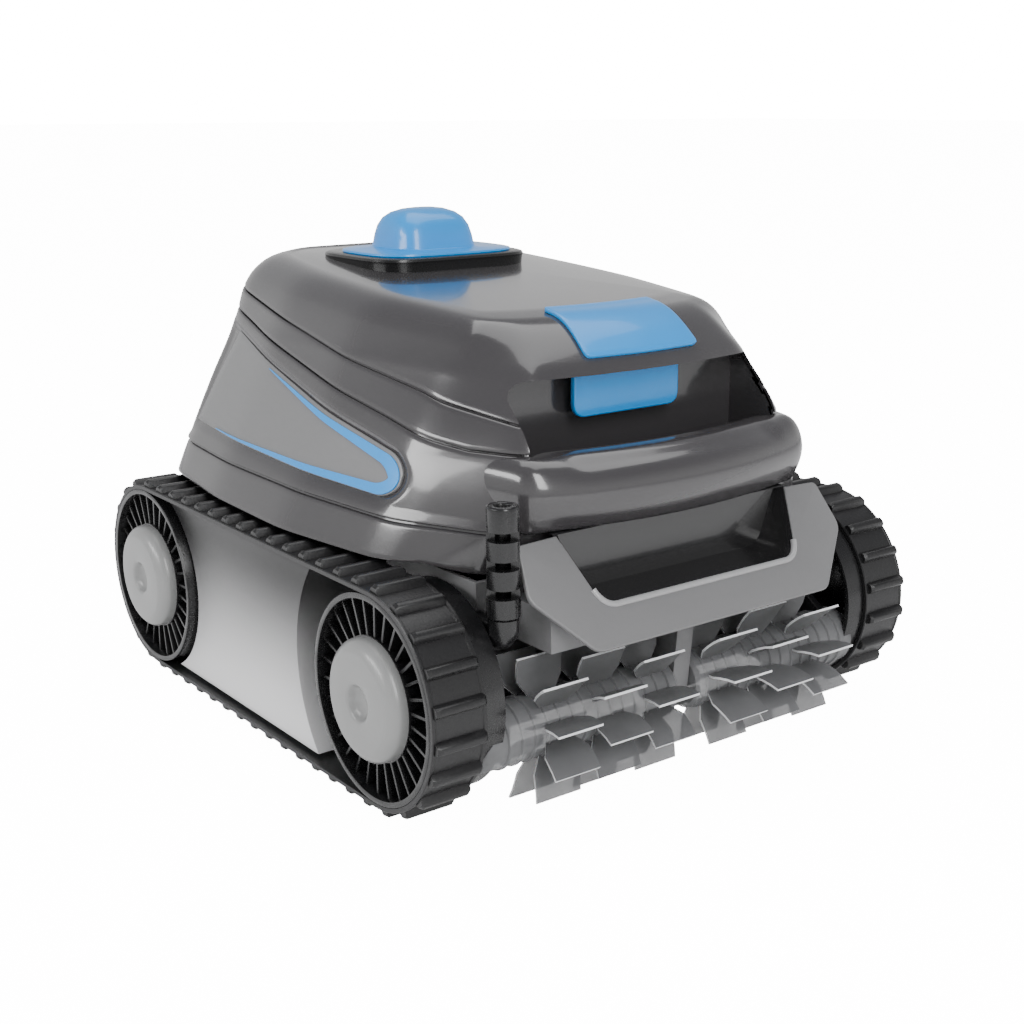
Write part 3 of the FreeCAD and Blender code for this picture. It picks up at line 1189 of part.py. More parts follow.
t = Size(2.5)
throat_box = box("throat_box", (-S.inlet_half - t, S.inlet_front - t, floor_z),
                 (S.inlet_half + t, S.inlet_rear + t, S.canister_bottom - 2))
throat_space = box("throat_space", (-S.inlet_half, S.inlet_front, floor_z - 1),
                   (S.inlet_half, S.inlet_rear, S.canister_bottom))
node(cut("throat_body", throat_box, throat_space), "inlet_throat")
seal_block = box("seal_block", (-S.inlet_half - t, S.inlet_front - t, S.canister_bottom - 2),
                 (S.inlet_half + t, S.inlet_rear + t, S.canister_bottom))
seal_hole = box("seal_hole", (-S.inlet_half, S.inlet_front, S.canister_bottom - 3),
                (S.inlet_half, S.inlet_rear, S.canister_bottom + 1))
node(cut("throat_seal_body", seal_block, seal_hole), "inlet_seal")

flap_z = S.canister_bottom + c + 0.3
flap_plate = box("flap_plate", (-S.inlet_half + 1, flap_pivot_y, flap_z),
                 (S.inlet_half - 1, S.inlet_rear - 1, flap_z + S.flap_thick))
flap_web = box("flap_web", (-S.inlet_half + 1, flap_pivot_y - 1.5, flap_z),
               (S.inlet_half - 1, flap_pivot_y + 1.5, flap_pivot_z))
flap_barrel = rod("flap_barrel", (-S.inlet_half + 1, flap_pivot_y, flap_pivot_z), "x", 2.4,
                  (S.inlet_half - 1) * 2)
flap_bore = rod("flap_bore", (-S.inlet_half - 5, flap_pivot_y, flap_pivot_z), "x",
                flap_pin_radius + S.running_gap, (S.inlet_half + 5) * 2)
node(cut("flap_body", fuse("flap_solid", flap_plate, flap_web, flap_barrel), flap_bore), "inlet_flap")
node(rod("flap_pin_body", (-S.inlet_half - 4, flap_pivot_y, flap_pivot_z), "x", flap_pin_radius,
         (S.inlet_half + 4) * 2), "flap_pin")

# ---------------------------------------------------------------- floats and chassis screws
floats = []
for side_name, side in SIDES.items():
    low, high = span(side, Size(8), S.chassis_half_width - S.chassis_wall - 6)
    floats.append(box("float_" + side_name, (low, S.block_rear + 5, floor_z),
                      (high, S.chassis_rear - S.chassis_wall - 3, S.chassis_top - 4)))
node(group("floats_body", *floats), "foam_floats")
chassis_screws = []
for i, x in enumerate((-105, 105)):
    for j, y in enumerate((S.hollow_back + 14, S.block_front - 6, S.chassis_rear - 14)):
        chassis_screws.append(rod("chassis_screw_%d_%d" % (i, j), (x, y, S.chassis_bottom - 2), "z", 3.5, 2))
node(group("case_screws_body", *cover_screws, *chassis_screws), "case_screws")


# ---------------------------------------------------------------- checks and files
doc.recompute()
faults = [obj.Label for obj in doc.Objects if "Invalid" in obj.State or "Error" in obj.State]
if faults:
    raise RuntimeError("failed features: " + ", ".join(faults))
for obj in nodes:
    if obj.Shape.isNull() or not obj.Shape.isValid() or obj.Shape.Volume <= 0:
        raise RuntimeError("bad shape: " + obj.Label)
os.makedirs("parts", exist_ok=True)
for obj in nodes:
    obj.Shape.exportStep("parts/%s.step" % obj.Label)
    print("%-28s %3d solids %10.0f mm3" % (obj.Label, len(obj.Shape.Solids), obj.Shape.Volume))
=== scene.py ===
import math

import bpy
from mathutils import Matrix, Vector


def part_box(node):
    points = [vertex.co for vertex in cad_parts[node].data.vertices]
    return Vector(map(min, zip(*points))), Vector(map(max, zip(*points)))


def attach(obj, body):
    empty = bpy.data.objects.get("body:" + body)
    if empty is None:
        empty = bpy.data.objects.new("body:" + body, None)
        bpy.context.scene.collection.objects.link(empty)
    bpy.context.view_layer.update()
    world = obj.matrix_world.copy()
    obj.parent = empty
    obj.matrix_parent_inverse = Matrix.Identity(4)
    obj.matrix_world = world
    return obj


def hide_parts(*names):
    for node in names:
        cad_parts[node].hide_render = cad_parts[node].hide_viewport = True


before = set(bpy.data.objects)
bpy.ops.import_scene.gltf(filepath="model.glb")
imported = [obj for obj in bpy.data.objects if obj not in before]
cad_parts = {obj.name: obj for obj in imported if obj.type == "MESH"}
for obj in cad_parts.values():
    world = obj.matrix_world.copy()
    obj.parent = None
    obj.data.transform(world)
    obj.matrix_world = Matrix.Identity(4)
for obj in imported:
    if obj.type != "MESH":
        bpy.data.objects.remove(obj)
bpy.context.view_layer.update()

# Robotic pool cleaner on two tracks. Metres; the origin is on the floor under the middle
# of the machine, -Y is the front, +X its right-hand side, +Z up.

# ------------------------------------------------------------------ studio
# A pale floor that runs up to a white sky, two wide soft lights and one camera.
camera = bpy.data.objects.new("camera", bpy.data.cameras.new("camera"))
bpy.context.scene.collection.objects.link(camera)
camera.location = (-0.54807, -0.76742, 0.36187)
camera.rotation_euler = (math.radians(75.1), math.radians(0.06), math.radians(-38.14))
camera.data.lens = 53.25
camera.data.shift_x = -0.0494
camera.data.shift_y = -0.0041
bpy.context.scene.camera = camera

bpy.ops.object.select_all(action="DESELECT")
bpy.ops.mesh.primitive_plane_add(size=60, location=(0, 0, -0.0004))
floor = bpy.context.object
floor.name = "studio_floor"

world = bpy.data.worlds.new("studio_sky")
world.use_nodes = True
bpy.context.scene.world = world


def soft_light(name, place, target, size, power):
    """A square soft light that points at a place on the object."""
    lamp = bpy.data.objects.new(name, bpy.data.lights.new(name, "AREA"))
    lamp.data.shape = "RECTANGLE"
    lamp.data.size, lamp.data.size_y = size
    lamp.data.energy = power
    lamp.location = place
    lamp.rotation_euler = (Vector(target) - Vector(place)).to_track_quat("-Z", "Y").to_euler()
    bpy.context.scene.collection.objects.link(lamp)


soft_light("key_light", (-0.35, -1.5, 1.1), (0, -0.1, 0.12), (0.5, 1.2), 22)
soft_light("side_light", (-1.7, 0.35, 1.0), (0, 0, 0.12), (1.3, 0.35), 18)
soft_light("top_light", (0.3, 0.2, 1.9), (0, 0, 0.2), (1.6, 1.6), 20)


# ------------------------------------------------------------------ finishes
# Every surface is moulded plastic, rubber, metal or cloth. A finish is a shader whose
# colour, roughness and fine relief drift a little over the piece.
class Wire:
    """A value that changes over a surface, with sums that add their own nodes."""

    def __init__(self, surface, socket):
        self.surface = surface
        self.socket = socket

    def maths(self, operation, *others):
        return self.surface.node("ShaderNodeMath", {"operation": operation}, [self, *others])

    def __add__(self, other):
        return self.maths("ADD", other)

    def __sub__(self, other):
        return self.maths("SUBTRACT", other)

    def __rsub__(self, other):
        return self.surface.node("ShaderNodeMath", {"operation": "SUBTRACT"}, [other, self])

    def __mul__(self, other):
        return self.maths("MULTIPLY", other)

    __radd__ = __add__
    __rmul__ = __mul__


class Surface:
    """A finish being mixed: its material and the one method that adds a node to it."""

    def __init__(self, name, tree=None):
        if tree is None:
            self.material = bpy.data.materials.new(name)
            self.material.use_nodes = True
            tree = self.material.node_tree
            self.shader = tree.nodes["Principled BSDF"]
        self.tree = tree

    def node(self, kind, settings, inputs, output=0):
        made = self.tree.nodes.new(kind)
        for key, value in settings.items():
            setattr(made, key, value)
        pairs = inputs.items() if isinstance(inputs, dict) else enumerate(inputs)
        for key, value in pairs:
            if isinstance(value, Wire):
                self.tree.links.new(value.socket, made.inputs[key])
            else:
                made.inputs[key].default_value = value
        return Wire(self, made.outputs[output])

    def feed(self, **values):
        """Sets or links the shader's own sockets, named with underscores."""
        for key, value in values.items():
            socket = self.shader.inputs[key.replace("_", " ")]
            if isinstance(value, Wire):
                self.tree.links.new(value.socket, socket)
            else:
                socket.default_value = value
        return self

    def place(self):
        return self.node("ShaderNodeTexCoord", {}, {}, "Object")

    def along(self, axis):
        """One coordinate of the place on the piece, in metres."""
        return self.node("ShaderNodeSeparateXYZ", {}, [self.place()], axis)

    def noise(self, scale, detail=3.0):
        return self.node("ShaderNodeTexNoise", {},
                         {"Vector": self.place(), "Scale": scale, "Detail": detail})

    def between(self, value, low, high, out_low=0.0, out_high=1.0):
        """Stretches a value from one range to another, smoothly and held at the ends."""
        return self.node("ShaderNodeMapRange", {"interpolation_type": "SMOOTHSTEP"},
                         {"Value": value, "From Min": low, "From Max": high,
                          "To Min": out_low, "To Max": out_high})

    def blend(self, share, colour_a, colour_b):
        made = self.tree.nodes.new("ShaderNodeMix")
        made.data_type = "RGBA"
        for key, value in ((0, share), (6, colour_a), (7, colour_b)):
            if isinstance(value, Wire):
                self.tree.links.new(value.socket, made.inputs[key])
            else:
                made.inputs[key].default_value = value
        return Wire(self, made.outputs[2])

    def relief(self, height, depth):
        bump = self.node("ShaderNodeBump", {}, {"Height": height, "Distance": depth, "Strength": 1.0})
        return self.feed(Normal=bump)


def shade(colour, factor):
    return tuple(min(1.0, channel * factor) for channel in colour[:3]) + (1.0,)


def moulded(name, colour, rough, grain, depth, coat=0.0, drift=0.12, dust=0.0):
    """Moulded plastic or rubber: a slow drift of colour, a fine grain, dulled patches."""
    surface = Surface(name)
    slow = surface.noise(14.0)
    fine = surface.noise(grain, 6.0)
    tint = surface.blend(slow, shade(colour, 1 - drift), shade(colour, 1 + drift))
    if dust:
        tint = surface.blend(surface.between(fine, 0.55, 0.8) * dust, tint, shade(colour, 3.0))
    surface.feed(Base_Color=tint, Roughness=slow * 0.08 + fine * 0.06 + (rough - 0.07))
    if coat:
        surface.feed(Coat_Weight=coat, Coat_Roughness=0.06)
    surface.relief(fine, depth)
    return surface


BODY_GREY = (0.042, 0.040, 0.042)
SATIN_GREY = (0.155, 0.155, 0.157)
BLUE = (0.0, 0.260, 0.700)
gloss_body = moulded("gloss_body", BODY_GREY, 0.20, 900.0, 0.00003, coat=0.6, drift=0.05)
satin_grey = moulded("satin_grey", SATIN_GREY, 0.36, 1400.0, 0.00006, coat=0.2, drift=0.04)
blue_gloss = moulded("blue_gloss", BLUE, 0.30, 900.0, 0.00003, coat=0.35, drift=0.05)
cap_grey = moulded("cap_grey", (0.230, 0.232, 0.230), 0.34, 1400.0, 0.00005, coat=0.2, drift=0.04)
chassis_grey = moulded("chassis_grey", (0.150, 0.150, 0.153), 0.42, 700.0, 0.00008, drift=0.06)
black_plastic = moulded("black_plastic", (0.006, 0.006, 0.0065), 0.28, 800.0, 0.00006, coat=0.15)
dark_inside = moulded("dark_inside", (0.012, 0.012, 0.0125), 0.22, 800.0, 0.00002, coat=0.5)
# A paler copy of the satin grey: a painted highlight for the scoop's rolled lip.
lip_grey_painted_highlight = moulded("lip_grey_painted_highlight", (0.300, 0.300, 0.303), 0.26, 1400.0, 0.00004, coat=0.4, drift=0.04)
belt_rubber = moulded("belt_rubber", (0.007, 0.007, 0.0075), 0.38, 600.0, 0.00012, dust=0.03)
seal_rubber = moulded("seal_rubber", (0.016, 0.016, 0.016), 0.55, 900.0, 0.00008)
foam_white = moulded("foam_white", (0.780, 0.780, 0.760), 0.85, 350.0, 0.0004)
board_green = moulded("board_green", (0.015, 0.130, 0.060), 0.35, 1200.0, 0.00004, coat=0.3)

# The side panels carry painted light: a painted shade, near black, up under the skirt and belt, fading to a
# painted reflection of the floor, pale grey, at the bottom.
side_grey_painted_light = moulded("side_grey_painted_light", SATIN_GREY, 0.36, 1400.0, 0.00006, drift=0.04)
painted_light_fade = side_grey_painted_light.between(side_grey_painted_light.along("Z"), 0.012, 0.112)
side_grey_painted_light.feed(Base_Color=side_grey_painted_light.blend(painted_light_fade, (0.70, 0.70, 0.705, 1), (0.018, 0.018, 0.0185, 1)))

# The brush's soft film lets some light through. Its cut edges carry a painted highlight: they are painted
# pale where light falls on each paddle's thickness.
brush_film = Surface("brush_film")
cloud = brush_film.noise(60.0)
# Painted highlight: the paddles' edge faces, marked by an attribute, are painted near white.
edge = brush_film.node("ShaderNodeAttribute", {"attribute_name": "painted_edge_highlight"}, {}, "Fac")
film = brush_film.blend(cloud, (0.115, 0.117, 0.120, 1), (0.150, 0.152, 0.156, 1))
brush_film.feed(Base_Color=brush_film.blend(edge, film, (0.85, 0.86, 0.87, 1)),
                Roughness=cloud * 0.08 + 0.34, Alpha=cloud * 0.08 + 0.86)

# Turned and drawn steel: fine marks across the piece.
steel = Surface("steel")
marks = steel.node("ShaderNodeTexWave", {"wave_type": "BANDS", "bands_direction": "X"},
                   {"Vector": steel.place(), "Scale": 900.0, "Distortion": 3.0})
steel.feed(Base_Color=steel.blend(marks, (0.50, 0.50, 0.51, 1), (0.66, 0.66, 0.67, 1)),
           Metallic=1.0, Roughness=marks * 0.1 + 0.24)
motor_metal = Surface("motor_metal")
plating = motor_metal.noise(40.0)
motor_metal.feed(Base_Color=motor_metal.blend(plating, (0.30, 0.31, 0.33, 1), (0.42, 0.43, 0.45, 1)),
                 Metallic=0.9, Roughness=plating * 0.15 + 0.3)

# The filter cloth is a fine square weave.
filter_mesh = Surface("filter_mesh")
strands = [filter_mesh.node("ShaderNodeTexWave", {"bands_direction": axis},
                            {"Vector": filter_mesh.place(), "Scale": 260.0}, "Fac") for axis in "YZ"]
weave = strands[0].maths("MAXIMUM", strands[1])
filter_mesh.feed(Base_Color=filter_mesh.blend(weave, (0.35, 0.36, 0.38, 1), (0.80, 0.81, 0.82, 1)),
                 Roughness=0.8)
filter_mesh.relief(weave, 0.0002)

# The floor is matt white; the sky is white where it meets the floor and greyer overhead.
pale = Surface("pale_floor")
pale.feed(Base_Color=pale.blend(pale.noise(0.6), (0.90, 0.90, 0.90, 1), (0.93, 0.93, 0.93, 1)),
          Roughness=0.9)
seen = pale.node("ShaderNodeLightPath", {}, {}, "Is Camera Ray")
pale.feed(Emission_Color=(1, 1, 1, 1), Emission_Strength=seen * 14.0 + 0.25)
floor.data.materials.append(pale.material)
sky = Surface("sky", world.node_tree)
height = sky.node("ShaderNodeSeparateXYZ", {}, [sky.node("ShaderNodeTexCoord", {}, {}, "Generated")], "Z")
background = world.node_tree.nodes["Background"]
tone = sky.blend(sky.between(height, 0.05, 0.75), (1.0, 1.0, 1.0, 1), (0.30, 0.30, 0.32, 1))
world.node_tree.links.new(tone.socket, background.inputs["Color"])
seen = sky.node("ShaderNodeLightPath", {}, {}, "Is Camera Ray")
world.node_tree.links.new((seen * 16.0 + 1.05).socket, background.inputs["Strength"])


def finish(piece, surface):
    piece.data.materials.clear()
    piece.data.materials.append(surface.material)
    return piece


NODE_FINISHES = {
    gloss_body: ["hull", "middle_band", "lid_shell"],
    satin_grey: ["fascia", "side_inlay_left", "side_inlay_right", "side_panel_left", "side_panel_right"],
    blue_gloss: ["latch_plate", "latch_tab", "outlet_cowl", "accent_strip_left", "accent_strip_right"],
    cap_grey: ["front_hub_cap_left", "front_hub_cap_right", "rear_hub_cap_left", "rear_hub_cap_right"],
    chassis_grey: ["chassis", "deck_frame", "brush_centre_bearing", "inlet_throat", "canister_frame",
                   "canister_cover", "pump_duct"],
    black_plastic: ["front_wheel_left", "front_wheel_right", "rear_wheel_left", "rear_wheel_right",
                    "track_frame_left", "track_frame_right", "outlet_collar", "outlet_grille",
                    "cable_gland", "cable_elbow", "drive_pinion_left", "drive_pinion_right",
                    "motor_block_housing", "motor_block_cover", "impeller"],
    dark_inside: ["scoop_liner"],
    belt_rubber: ["track_belt_left", "track_belt_right"],
    brush_film: ["roller_brush_left", "roller_brush_right"],
    seal_rubber: ["motor_block_seal", "shaft_seals", "inlet_seal", "inlet_flap"],
    steel: ["lid_hinge_pin", "latch_pin", "flap_pin", "wheel_axles", "axle_screws", "case_screws"],
    motor_metal: ["drive_motor_left", "drive_motor_right", "pump_motor"],
    board_green: ["control_board"],
    filter_mesh: ["canister_mesh"],
    foam_white: ["foam_floats"],
}
for surface, names in NODE_FINISHES.items():
    for name in names:
        finish(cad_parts[name], surface)


# ------------------------------------------------------------------ hull, band and lid
# Three moulded shells stack into one smooth body. Each is 2.6 mm thick. The seams
# between them and the step above the skirt follow the same lines from side to side.
# A level is its height, the half width at the middle, waist, front corner and rear
# corner, and the Y of the front and rear.
LEVELS = (
    (0.120, 0.171, 0.157, 0.118, 0.157, -0.147, 0.184),
    (0.150, 0.154, 0.143, 0.109, 0.144, -0.157, 0.179),
    (0.186, 0.137, 0.127, 0.094, 0.127, -0.158, 0.177),
    (0.225, 0.118, 0.104, 0.078, 0.107, -0.140, 0.174),
    (0.250, 0.103, 0.087, 0.066, 0.097, -0.113, 0.171),
    (0.274, 0.082, 0.068, 0.052, 0.076, -0.092, 0.164),
)
WAIST_Y = -0.105
WIDEST_Y = -0.020
FLANK_Y = 0.148
TAIL_INSET = 0.032
FRONT_BOW = 0.008
WALL = 0.0026
COLUMNS = 480
EASING = 30


def level_at(z):
    """The six sizes of the body at a height, on a smooth curve through the levels."""
    last = len(LEVELS) - 1
    i = max(0, min(last - 1, sum(1 for level in LEVELS[1:] if level[0] <= z)))
    t = (z - LEVELS[i][0]) / (LEVELS[i + 1][0] - LEVELS[i][0])
    sizes = []
    for k in range(1, 7):
        here, there = LEVELS[i][k], LEVELS[i + 1][k]
        step = there - here
        before = here - LEVELS[i - 1][k] if i > 0 else step
        after = LEVELS[i + 2][k] - there if i + 2 <= last else step
        if t < 0 or t > 1:
            sizes.append(here + step * t)
            continue
        tangent_a, tangent_b = (before + step) / 2, (step + after) / 2
        sizes.append(here + tangent_a * t + (3 * step - 2 * tangent_a - tangent_b) * t ** 2
                     + (tangent_a + tangent_b - 2 * step) * t ** 3)
    return sizes


def eased(ring, passes):
    """A closed ring of points with its corners rounded, more with each pass."""
    for _ in range(passes):
        ring = [(ring[k - 1] + ring[k] * 2 + ring[(k + 1) % len(ring)]) / 4 for k in range(len(ring))]
    return ring


def plan_at(z):
    """The body's closed plan outline at a height, as COLUMNS points from the front middle."""
    half, waist, front_half, rear_half, front, rear = level_at(z)
    side = [(0.0, front - FRONT_BOW), (front_half * 0.5, front - FRONT_BOW * 0.75), (front_half, front),
            (waist, WAIST_Y), (half, WIDEST_Y), (half * 0.5 + rear_half * 0.5 + 0.004, 0.07),
            (rear_half, FLANK_Y), (rear_half - TAIL_INSET, rear), (0.0, rear)]
    counts = (24, 28, 32, 32, 32, 28, 28, 36)
    points = []
    for (a, b), count in zip(zip(side, side[1:]), counts):
        points += [Vector(a).lerp(Vector(b), k / count) for k in range(count)]
    points.append(Vector(side[-1]))
    ring = points + [Vector((-p.x, p.y)) for p in reversed(points[1:-1])]
    return eased(ring, EASING)


def path_line(*corners):
    """The height of a seam at each Y, from its corners, and straight on beyond both ends."""
    def line(y):
        for (y_a, z_a), (y_b, z_b) in zip(corners, corners[1:]):
            if y <= y_b:
                break
        return z_a + (z_b - z_a) * (y - y_a) / (y_b - y_a)
    return line


RING_STEP = 0.003
rings = {}


def column_point(k, z):
    """Where one column of the body's surface is at a height, in plan."""
    low = math.floor(z / RING_STEP)
    for level in (low, low + 1):
        if level not in rings:
            rings[level] = plan_at(level * RING_STEP)
    return rings[low][k % COLUMNS].lerp(rings[low + 1][k % COLUMNS], z / RING_STEP - low)


def seam_heights(line):
    """The height at which each column of the body crosses a seam."""
    heights = []
    for k in range(COLUMNS):
        z = line(0.0)
        for _ in range(8):
            z = line(column_point(k, z).y)
        heights.append(z)
    return heights


def body_row(heights, rise=0.0, inset=0.0):
    """One ring of points on the body at the columns' heights, moved in from the surface."""
    row = []
    for k, seam in enumerate(heights):
        z = seam + rise
        run = column_point(k + 1, z) - column_point(k - 1, z)
        outward = Vector((run.y, -run.x)).normalized()
        point = column_point(k, z) - outward * inset
        row.append(Vector((point.x, point.y, z)))
    return row


def rows_between(low, high, count, start=0.0, stop=0.0):
    """Rings evenly spaced from a height over one seam to a depth under the next."""
    rows = []
    for i in range(count + 1):
        t = i / count
        rows.append(body_row([(a + start) * (1 - t) + (b - stop) * t for a, b in zip(low, high)]))
    return rows


def new_mesh(name, points, faces):
    mesh = bpy.data.meshes.new(name)
    mesh.from_pydata([tuple(p) for p in points], [], faces)
    piece = bpy.data.objects.new(name, mesh)
    bpy.context.scene.collection.objects.link(piece)
    return piece


def skin(name, rows, closed=True):
    """A smooth sheet through rings of points, the outside facing outwards."""
    width = len(rows[0])
    faces = []
    for r in range(len(rows) - 1):
        for k in range(width if closed else width - 1):
            nxt = (k + 1) % width
            faces.append((r * width + k, r * width + nxt, (r + 1) * width + nxt, (r + 1) * width + k))
    return new_mesh(name, [p for row in rows for p in row], faces)


def work_on(piece):
    """Makes a piece the only one selected and the active one."""
    bpy.ops.object.select_all(action="DESELECT")
    piece.select_set(True)
    bpy.context.view_layer.objects.active = piece
    return piece


def modify(piece, kind, **settings):
    work_on(piece)
    modifier = piece.modifiers.new(kind.lower(), kind)
    for key, value in settings.items():
        setattr(modifier, key, value)
    bpy.ops.object.modifier_apply(modifier=modifier.name)
    return piece


def cut_away(piece, *tools, operation="DIFFERENCE"):
    """Cuts each tool's form out of a piece. The tools are used up."""
    for tool in tools:
        modify(piece, "BOOLEAN", operation=operation, object=tool, solver="MANIFOLD")
        bpy.data.objects.remove(tool)
    return piece


def smooth(piece, angle=35.0):
    work_on(piece)
    bpy.ops.object.shade_smooth_by_angle(angle=math.radians(angle))
    return piece


def block(name, low, high, corner=0.0, axis=2, segments=5):
    """A block between two corners, its four edges along one axis rounded."""
    bpy.ops.object.select_all(action="DESELECT")
    middle = (Vector(low) + Vector(high)) / 2
    bpy.ops.mesh.primitive_cube_add(size=1, location=middle)
    piece = bpy.context.object
    piece.name = name
    piece.scale = Vector(high) - Vector(low)
    bpy.ops.object.transform_apply(location=True, rotation=True, scale=True)
    if corner:
        bpy.ops.object.mode_set(mode="EDIT")
        bpy.ops.mesh.select_all(action="DESELECT")
        bpy.ops.mesh.select_mode(type="EDGE")
        bpy.ops.object.mode_set(mode="OBJECT")
        for edge in piece.data.edges:
            ends = [piece.data.vertices[v].co for v in edge.vertices]
            edge.select = abs((ends[0] - ends[1])[axis]) > 1e-6
        bpy.ops.object.mode_set(mode="EDIT")
        bpy.ops.mesh.bevel(offset=corner, segments=segments, affect="EDGES")
        bpy.ops.object.mode_set(mode="OBJECT")
    return piece


def soften(piece, width, segments=2, angle=40.0):
    """Rounds the sharp edges, as a mould does."""
    return modify(piece, "BEVEL", width=width, segments=segments, limit_method="ANGLE",
                  angle_limit=math.radians(angle), use_clamp_overlap=True)


def mount(piece, body, surface, slot, *nodes):
    """Finishes a piece: its look, the body that it moves with and the nodes it stands for."""
    finish(piece, surface)
    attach(piece, body)
    if nodes:
        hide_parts(*nodes)
    return piece


SEAM_GAP = 0.0011
skirt_line = seam_heights(path_line((-0.150, 0.124), (-0.124, 0.1296), (0.0, 0.1303), (0.2, 0.1313)))
step_line = seam_heights(path_line((-0.160, 0.1462), (-0.110, 0.1488), (0.0, 0.1505), (0.2, 0.1505)))
low_seam = seam_heights(path_line((-0.170, 0.1864), (-0.150, 0.1867), (-0.130, 0.1875), (-0.073, 0.198),
                                  (0.145, 0.2337), (0.200, 0.2458)))
high_seam = seam_heights(path_line((-0.170, 0.1975), (-0.151, 0.2000), (-0.090, 0.2134), (0.136, 0.2450),
                                   (0.200, 0.2591)))
plateau = path_line((-0.112, 0.2505), (0.165, 0.2695))


def lip(heights, way, gap=SEAM_GAP / 2):
    """The rounded lip of a shell at a seam, from the seam's gap to the full surface."""
    return [body_row(heights, way * (gap + rise), inset)
            for rise, inset in ((0.0, 0.0016), (0.0, 0.0009), (0.0003, 0.0003), (0.0012, 0.0))]


# A drop-shaped dish on each flank takes the inlay: it is deepest under the inlay's edge
# and runs out smoothly round it.
INLAY_LOW = path_line((-0.084, 0.1590), (0.141, 0.1644))
INLAY_HIGH = path_line((-0.087, 0.1815), (0.127, 0.2196))
NOSE_Y = -0.086
NOSE_REACH = 0.015
DISH_DEPTH = 0.0022
DISH_EDGE = 0.0045


def dished(row):
    """Moves a ring of the hull inwards where it passes the dish of the inlay."""
    moved = []
    for p in row:
        low_z, high_z = INLAY_LOW(p.y), INLAY_HIGH(p.y)
        half = (high_z - low_z) / 2
        reach = Vector((max(0.0, NOSE_Y - p.y) / NOSE_REACH * half, p.z - (low_z + high_z) / 2)).length
        over = (reach - half) / DISH_EDGE
        share = max(0.0, min(1.0, 1.0 - over)) * max(0.0, min(1.0, (0.150 - p.y) / 0.012))
        depth = DISH_DEPTH * share * share * (3 - 2 * share)
        moved.append(Vector((p.x - math.copysign(depth, p.x), p.y, p.z)))
    return moved


hand_hollow = ((-0.090, -0.260, 0.152), (0.090, -0.118, 0.222))
hull_rows = lip(skirt_line, 1, 0.0) + rows_between(skirt_line, step_line, 4, 0.0028, 0.0024)
hull_rows += [body_row(step_line, -0.0009), body_row(step_line, -0.0004, 0.0004),
              body_row(step_line, -0.0002, 0.0016), body_row(step_line, 0.0012, 0.0016),
              body_row(step_line, 0.0014, -0.0002), body_row(step_line, 0.0020, -0.0009),
              body_row(step_line, 0.0032, -0.0009), body_row(step_line, 0.0060, 0.0)]
hull_rows += rows_between(step_line, low_seam, 26, 0.0080, 0.0032) + list(reversed(lip(low_seam, -1)))
hull_rows = [dished(row) for row in hull_rows]
hull = modify(skin("hull_shell", hull_rows), "SOLIDIFY", thickness=WALL, offset=-1.0)
cut_away(hull, block("hollow_cutter", *hand_hollow, corner=0.012, axis=1))
mount(smooth(hull), "root", gloss_body, "body_plastic", "hull")

band_rows = lip(low_seam, 1) + rows_between(low_seam, high_seam, 5, 0.0032, 0.0032)
band_rows += list(reversed(lip(high_seam, -1)))
band = modify(skin("middle_band_shell", band_rows), "SOLIDIFY", thickness=WALL, offset=-1.0)
cut_away(band, block("hollow_cutter", *hand_hollow, corner=0.012, axis=1))
mount(smooth(band), "root", gloss_body, "body_plastic", "middle_band")

# The lid's side rises to a wide rounded shoulder and a gently crowned top.
shoulder_line = [max(h - 0.0125, seam + 0.006) for h, seam in zip(seam_heights(plateau), high_seam)]
lid_rows = lip(high_seam, 1) + rows_between(high_seam, shoulder_line, 9, 0.0032)
edge = body_row(shoulder_line)
top_edge = eased(body_row(seam_heights(plateau), 0.0, 0.012), 160)
outlet_middle = Vector((0.0, 0.077))
OUTLET_HOLE = 0.041
corner = body_row(seam_heights(plateau), -0.0005, 0.0005)
for i in range(1, 8):
    t = i / 7
    lid_rows.append([a * (1 - t) ** 2 + b * 2 * t * (1 - t) + c * t ** 2
                     for a, b, c in zip(edge, corner, top_edge)])
for share in (0.96, 0.90, 0.80, 0.66, 0.50, 0.34, 0.18, 0.0):
    row = []
    for p in top_edge:
        hole = outlet_middle + (p.xy - outlet_middle).normalized() * OUTLET_HOLE
        flat = hole.lerp(p.xy, share)
        row.append(Vector((flat.x, flat.y, plateau(flat.y) + 0.0012 * (1 - share ** 2))))
    lid_rows.append(row)
lid = skin("lid_cover", lid_rows)
work_on(lid)
modify(lid, "SOLIDIFY", thickness=WALL, offset=-1.0)
cut_away(lid, block("hollow_cutter", *hand_hollow, corner=0.012, axis=1))
mount(smooth(lid), "lid", gloss_body, "body_plastic", "lid_shell")

# A thin sill behind each seam keeps dirt and light out; the lid closes down over the
# upper one.
for name, line in (("low", low_seam), ("high", high_seam)):
    sill = skin("seam_sill_" + name, [body_row(line, -0.004, 0.0030), body_row(line, 0.0035, 0.0030)])
    modify(sill, "SOLIDIFY", thickness=0.0012, offset=-1.0)
    cut_away(sill, block("hollow_cutter", *hand_hollow, corner=0.012, axis=1))
    mount(smooth(sill), "root", gloss_body, "body_plastic")

